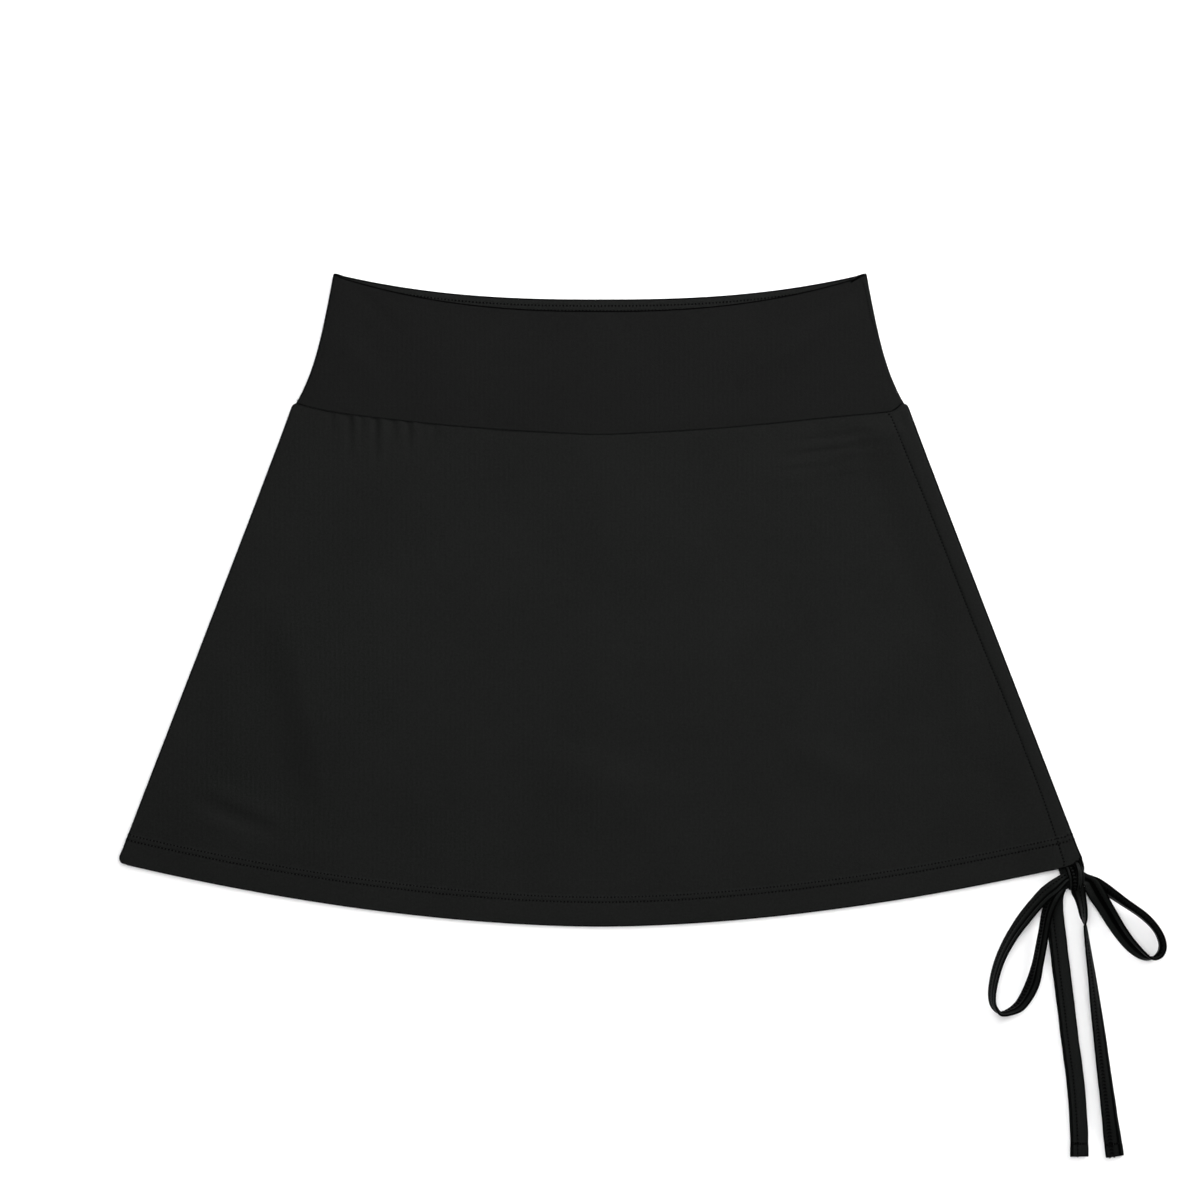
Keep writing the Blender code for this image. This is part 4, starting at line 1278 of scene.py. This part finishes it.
def makePanels():
    frontColumns = skirtColumns([
        (-187.0, -172.0, 3.0), (-172.0, -98.0, 1.2), (-98.0, 112.0, 4.2), (112.0, 170.0, 2.2),
    ], sideAngles)
    grid = [[skirtFrontPoint(column, row) for column in frontColumns] for row in skirtRows(3.2)]
    front = makeWall("skirtFront", [grid, allowanceGrid()], [skirtCloth])
    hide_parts("skirt_front")
    backColumns = skirtColumns([(-187.0, 170.0, 6.0)], sideAngles)
    grid = [[skirtBackPoint(column, row) for column in backColumns] for row in skirtRows(12.0)]
    back = makeWall("skirtBack", [grid], [skirtCloth])
    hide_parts("skirt_back")

    bandColumns = [("left", angle) for angle in sideAngles]
    bandColumns += [("full", index / 150) for index in range(3, 148)]
    bandColumns += [("right", angle) for angle in reversed(sideAngles)]
    bandGrid = [(0.0, offset) for offset in bandTop]
    bandGrid += [(0.14 + 0.755 * index / 26, 0.0) for index in range(27)]
    bandGrid += [(1.0, -offset) for offset in bandLow]
    for name, node, panel, part, materials in (
        ("waistbandFront", "waistband_front", bandFrontPanel, 1, [waistbandCloth]),
        ("waistbandBack", "waistband_back", bandBackPanel, -1, [waistbandCloth, insideCloth]),
    ):
        point = bandPoint(panel, part)
        grid = [[point(column, row) for column in bandColumns] for row in bandGrid]
        band = makeWall(name, [grid], materials)
        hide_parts(node)
    return front, back


skirtFront, skirtBack = makePanels()
print("panels made")

for node, material in (
    ("channel_casing", casingCloth),
    ("drawstring_run_front", hiddenStrap),
    ("drawstring_run_back", hiddenStrap),
):
    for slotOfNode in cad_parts[node].material_slots:
        slotOfNode.material = material


# sewing: Geometry Nodes set one small shape at every pitch along a path that lies on the cloth

sewing = {
    "pitch": 2.15 * mm,
    "threadLength": 1.0 * mm,
    "threadWidth": 0.46 * mm,
    "threadHeight": 0.26 * mm,
    "threadLift": 0.04 * mm,
    "holeWidth": 1.15 * mm,      # pits are drawn wider than real ones, so that they show
    "holeLength": 1.1 * mm,
    "holeHeight": 0.34 * mm,
    "holeLift": 0.10 * mm,
    "floorSkip": 0.4 * mm,       # a strap has no stitches lower than this
    "seed": 7,
}
sideSeam = {
    # the right side seam comes round to the front under the waistband's corner: y, x along it, mm
    "way": [
        (164.6, 172.2), (168.8, 170.2), (175.1, 168.0), (184.5, 166.0), (193.9, 163.9), (197.1, 162.8),
        (199.4, 160.4),
    ],
    "low": 165.4,
    "length": 34.0,
    "points": 36,
}
tack = {
    # it closes the side seam, across the front waistband's corner
    "start": (155.8, 197.2),
    "reach": (5.2, 3.0),
    "points": 8,
}
bar = {
    # sewn across a tail's folded end; half is its share of half the strap
    "half": 0.88,
    "points": 13,
}


def stitchTree():
    tree = bpy.data.node_groups.new("stitchRow", "GeometryNodeTree")
    face = tree.interface
    face.new_socket("Path", in_out="INPUT", socket_type="NodeSocketGeometry")
    for name in ("Pitch", "Start", "Length", "Width", "Height", "Lift", "Slant", "Shift"):
        face.new_socket(name, in_out="INPUT", socket_type="NodeSocketFloat")
    face.new_socket("Seed", in_out="INPUT", socket_type="NodeSocketInt")
    face.new_socket("Material", in_out="INPUT", socket_type="NodeSocketMaterial")
    face.new_socket("Stitches", in_out="OUTPUT", socket_type="NodeSocketGeometry")
    given = addNode(tree, "NodeGroupInput").outputs
    curve = addNode(tree, "GeometryNodeMeshToCurve", inputs={"Mesh": given["Path"]})
    trimmed = addNode(tree, "GeometryNodeTrimCurve", {"mode": "LENGTH"}, {
        "Curve": curve.outputs[0],
    })
    # Trim Curve keeps both ways of trimming; the ones in use are the last Start and End sockets
    for socket in trimmed.inputs:
        if socket.enabled and socket.name == "Start":
            tree.links.new(given["Start"], socket)
        if socket.enabled and socket.name == "End":
            socket.default_value = 100.0
    spaced = addNode(tree, "GeometryNodeResampleCurve", {"mode": "LENGTH"}, {
        "Curve": trimmed.outputs[0], "Length": given["Pitch"],
    })
    seed = addNode(tree, "GeometryNodeMeshUVSphere", inputs={"Segments": 6, "Rings": 4, "Radius": 0.5})
    size = addNode(tree, "ShaderNodeCombineXYZ", inputs={
        "X": given["Length"], "Y": given["Width"], "Z": given["Height"],
    })
    offset = addNode(tree, "ShaderNodeCombineXYZ", inputs={"Y": given["Shift"], "Z": given["Lift"]})
    slant = addNode(tree, "ShaderNodeCombineXYZ", inputs={"Z": given["Slant"]})
    shape = addNode(tree, "GeometryNodeTransform", inputs={
        "Geometry": seed.outputs["Mesh"], "Translation": offset.outputs[0], "Rotation": slant.outputs[0],
        "Scale": size.outputs[0],
    })
    out = addNode(tree, "GeometryNodeInputNamedAttribute", {"data_type": "FLOAT_VECTOR"}, {"Name": "out"})
    tangent = addNode(tree, "GeometryNodeInputTangent")
    upright = addNode(tree, "FunctionNodeAlignRotationToVector", {"axis": "Z"}, {
        "Vector": out.outputs[0],
    })
    along = addNode(tree, "FunctionNodeAlignRotationToVector", {"axis": "X", "pivot_axis": "Z"}, {
        "Rotation": upright.outputs[0], "Vector": tangent.outputs[0],
    })
    uneven = addNode(tree, "FunctionNodeRandomValue", {"data_type": "FLOAT_VECTOR"}, {
        0: (0.9, 0.88, 0.9), 1: (1.08, 1.12, 1.1), "Seed": given["Seed"],
    })
    placed = addNode(tree, "GeometryNodeInstanceOnPoints", inputs={
        "Points": spaced.outputs[0], "Instance": shape.outputs[0],
        "Rotation": along.outputs[0], "Scale": uneven.outputs[0],
    })
    real = addNode(tree, "GeometryNodeRealizeInstances", inputs={0: placed.outputs[0]})
    painted = addNode(tree, "GeometryNodeSetMaterial", inputs={
        "Geometry": real.outputs[0], "Material": given["Material"],
    })
    addNode(tree, "NodeGroupOutput", inputs={0: painted.outputs[0]})
    return tree


rowTree = stitchTree()


def pathObject(lines):
    # each line is a list of (point, direction out of the cloth), in metres
    points, edges, outs = [], [], []
    for line in lines:
        first = len(points)
        points += [tuple(point) for point, out in line]
        outs += [tuple(out) for point, out in line]
        edges += [(first + index, first + index + 1) for index in range(len(line) - 1)]
    mesh = bpy.data.meshes.new("path")
    mesh.from_pydata(points, edges, [])
    attribute = mesh.attributes.new("out", "FLOAT_VECTOR", "POINT")
    for index, out in enumerate(outs):
        attribute.data[index].vector = out
    holder = bpy.data.objects.new("path", mesh)
    bpy.context.collection.objects.link(holder)
    return holder


def growStitches(lines, settings):
    holder = pathObject(lines)
    modifier = holder.modifiers.new("stitches", "NODES")
    modifier.node_group = rowTree
    for item in rowTree.interface.items_tree:
        if item.in_out == "INPUT" and item.name in settings:
            modifier[item.identifier] = settings[item.name]
    evaluated = holder.evaluated_get(bpy.context.evaluated_depsgraph_get())
    mesh = bpy.data.meshes.new_from_object(evaluated)
    holder.modifiers.remove(modifier)
    bpy.data.objects.remove(holder)
    return mesh


def sew(name, lines, passes):
    # one piece from all its passes of threads and needle pits
    work = bmesh.new()
    materials = []
    for settings in passes:
        mesh = growStitches(lines, settings)
        before = len(work.faces)
        work.from_mesh(mesh)
        work.faces.ensure_lookup_table()
        if settings["Material"] not in materials:
            materials.append(settings["Material"])
        for face in work.faces[before:]:
            face.material_index = materials.index(settings["Material"])
        bpy.data.meshes.remove(mesh)
    piece = finishMesh(name, work, materials)
    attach(piece, "root")
    print(name, "triangles", sum(len(face.vertices) - 2 for face in piece.data.polygons))
    return piece


def stitch(**changes):
    settings = {
        "Pitch": sewing["pitch"], "Start": sewing["pitch"] / 2, "Length": sewing["threadLength"],
        "Width": sewing["threadWidth"], "Height": sewing["threadHeight"], "Lift": sewing["threadLift"],
        "Slant": 0.0, "Shift": 0.0, "Seed": sewing["seed"], "Material": thread,
    }
    settings.update(changes)
    return settings


def hole(width=sewing["holeWidth"], **changes):
    settings = {
        "Start": 0.0, "Length": min(width, sewing["holeLength"]), "Width": width,
        "Height": sewing["holeHeight"], "Lift": sewing["holeLift"], "Material": pit,
    }
    settings.update(changes)
    return stitch(**settings)


def lineOn(point, places):
    # a path over the outer face, from (column, row) places
    line = []
    for column, row in places:
        outer, inner = point(column, row)[:2]
        line.append((outer * mm, (outer - inner).normalized()))
    return line


def hemLines(point):
    columns = [("left", angle) for angle in (20, 55, 90)]
    columns += [("span", 0.008 + 0.984 * index / 240) for index in range(241)]
    columns += [("channel", share) for share in (0.92, 0.8, 0.6, 0.46)]
    columns += [("right", angle) for angle in (90, 55, 20)]
    lines = []
    for needleRow in hemRows:
        places = [(column, (1.0, skirtPanel.liftAt(column) - needleRow)) for column in columns]
        lines.append(lineOn(point, places))
    return lines


def channelLine(point):
    rows = [(index / 120, 0.0) for index in range(121)]
    return [lineOn(point, [(("channel", 1.0), row) for row in rows])]


def bandLines():
    # on the inner face of the back waistband, which looks up
    point = bandPoint(bandBackPanel, -1)
    lines = []
    for below in bandRows:
        line = []
        for index in range(181):
            inner = point(("full", 0.012 + 0.976 * index / 180), (0.0, below))[1]
            line.append((inner * mm, Vector((0.0, 0.0, 1.0))))
        lines.append(line)
    return lines


def sideSeamLine():
    seamX = tableCurve(sideSeam["way"])
    radius = outline["bandWall"] + (outline["gap"] + outline["bandAir"]) / 2
    last = sideSeam["points"] - 1
    line = []
    for index in range(last + 1):
        y = sideSeam["low"] + sideSeam["length"] * index / last
        x = seamX(y)
        inside = min(radius, bandSide(y) - x)
        height = bandHeight(x, y, y - waistSeam(x))
        height -= radius - math.sqrt(radius ** 2 - (radius - inside) ** 2)
        out = Vector(((radius - inside) / radius, 0.0, 1.0)).normalized()
        line.append((Vector((x, y, height)) * mm, out))
    return line


def tackLine():
    (startX, startY), (reachX, reachY) = tack["start"], tack["reach"]
    last = tack["points"] - 1
    line = []
    for index in range(last + 1):
        x, y = startX + reachX * index / last, startY + reachY * index / last
        height = bandHeight(x, y, y - waistSeam(x))
        line.append((Vector((x, y, height)) * mm, Vector((0.0, 0.0, 1.0))))
    return line


sew("hemStitchesFront", hemLines(skirtFrontPoint), [stitch(), hole()])
sew("hemStitchesBack", hemLines(skirtBackPoint), [stitch(Lift=-0.1 * mm), hole()])
sew("channelStitchesFront", channelLine(skirtFrontPoint), [hole(width=1.1 * mm)])
sew("channelStitchesBack", channelLine(skirtBackPoint), [hole(width=1.1 * mm)])
sew("waistbandStitches", bandLines(), [stitch(), hole()])
sew("sideSeamStitches", [sideSeamLine()], [hole(width=0.6 * mm, Pitch=1.3 * mm)])
sew("sideTack", [tackLine()], [hole(width=1.3 * mm, Pitch=0.7 * mm, Height=0.8 * mm)])


def strapLine(name, face):
    # along the sewing of a strap, on its face or on its back
    stations, sides = strapLines[name]
    stitchAt = bow[name]["stitchAt"]
    total = stations[-1][4]
    line = []
    for middle, across, out, width, place in stations:
        height = sides(stitchAt, total - place)[0 if face else 1]
        point = middle + across * (stitchAt * width / 2) + out * height
        if point.z > sewing["floorSkip"]:
            line.append((point, out if face else -out))
    return line


def barLine(name):
    stations, sides = strapLines[name]
    endFold = bow[name]["endFold"]
    total = stations[-1][4]
    middle, across, out, width = min(stations, key=lambda item: abs(total - item[4] - endFold))[:4]
    up = 1 if out.z > 0 else -1
    line = []
    half, last = bar["half"], bar["points"] - 1
    for index in range(last + 1):
        share = -half + 2 * half * index / last
        height = sides(share, endFold)[0 if up > 0 else 1]
        line.append((middle + across * (share * width / 2) + out * height, out * up))
    return line


# the slanted strokes of the braid on the straps' backs and on the knot: black thread, drawn in the pit's
# black, which is painted shade
braid = {"Length": 2.6 * mm, "Width": 0.85 * mm, "Height": 0.5 * mm, "Lift": 0.12 * mm, "Material": pit}
faceLines = [strapLine(name, True) for name in strapLines]
backLines = [strapLine(name, False) for name in strapLines]
sew("strapStitches", faceLines, [
    hole(width=1.2 * mm, Length=1.0 * mm, Height=0.5 * mm, Seed=3),
])
sew("strapBraid", backLines, [
    stitch(Slant=1.0, Shift=0.95 * mm, **braid),
    stitch(Slant=-1.0, Shift=-0.95 * mm, **braid),
])
sew("tailBars", [barLine("tailLeft"), barLine("tailRight")], [
    stitch(Pitch=1.5 * mm, Start=0.2 * mm, Length=1.1 * mm, Width=0.7 * mm, Height=0.6 * mm),
    hole(width=1.5 * mm, Pitch=1.0 * mm, Height=0.5 * mm),
])


def knotLine(band):
    starts, ends = knot["stitchedTurns"]
    line = []
    for middle, across, out, turn in bandStations(band):
        if starts < turn < ends:
            height = bandFace(band, band["stitchAt"], turn)
            point = middle + across * (band["stitchAt"] * band["width"] / 2) + out * height
            line.append((point, out))
    return line


sew("knotStitches", [knotLine(knotBands["sewn"])], [
    stitch(Slant=0.75, Shift=0.6 * mm, **braid), stitch(Slant=-0.75, Shift=-0.6 * mm, **braid),
    hole(Shift=1.0 * mm), hole(Shift=-1.0 * mm),
])
print("sewing made")
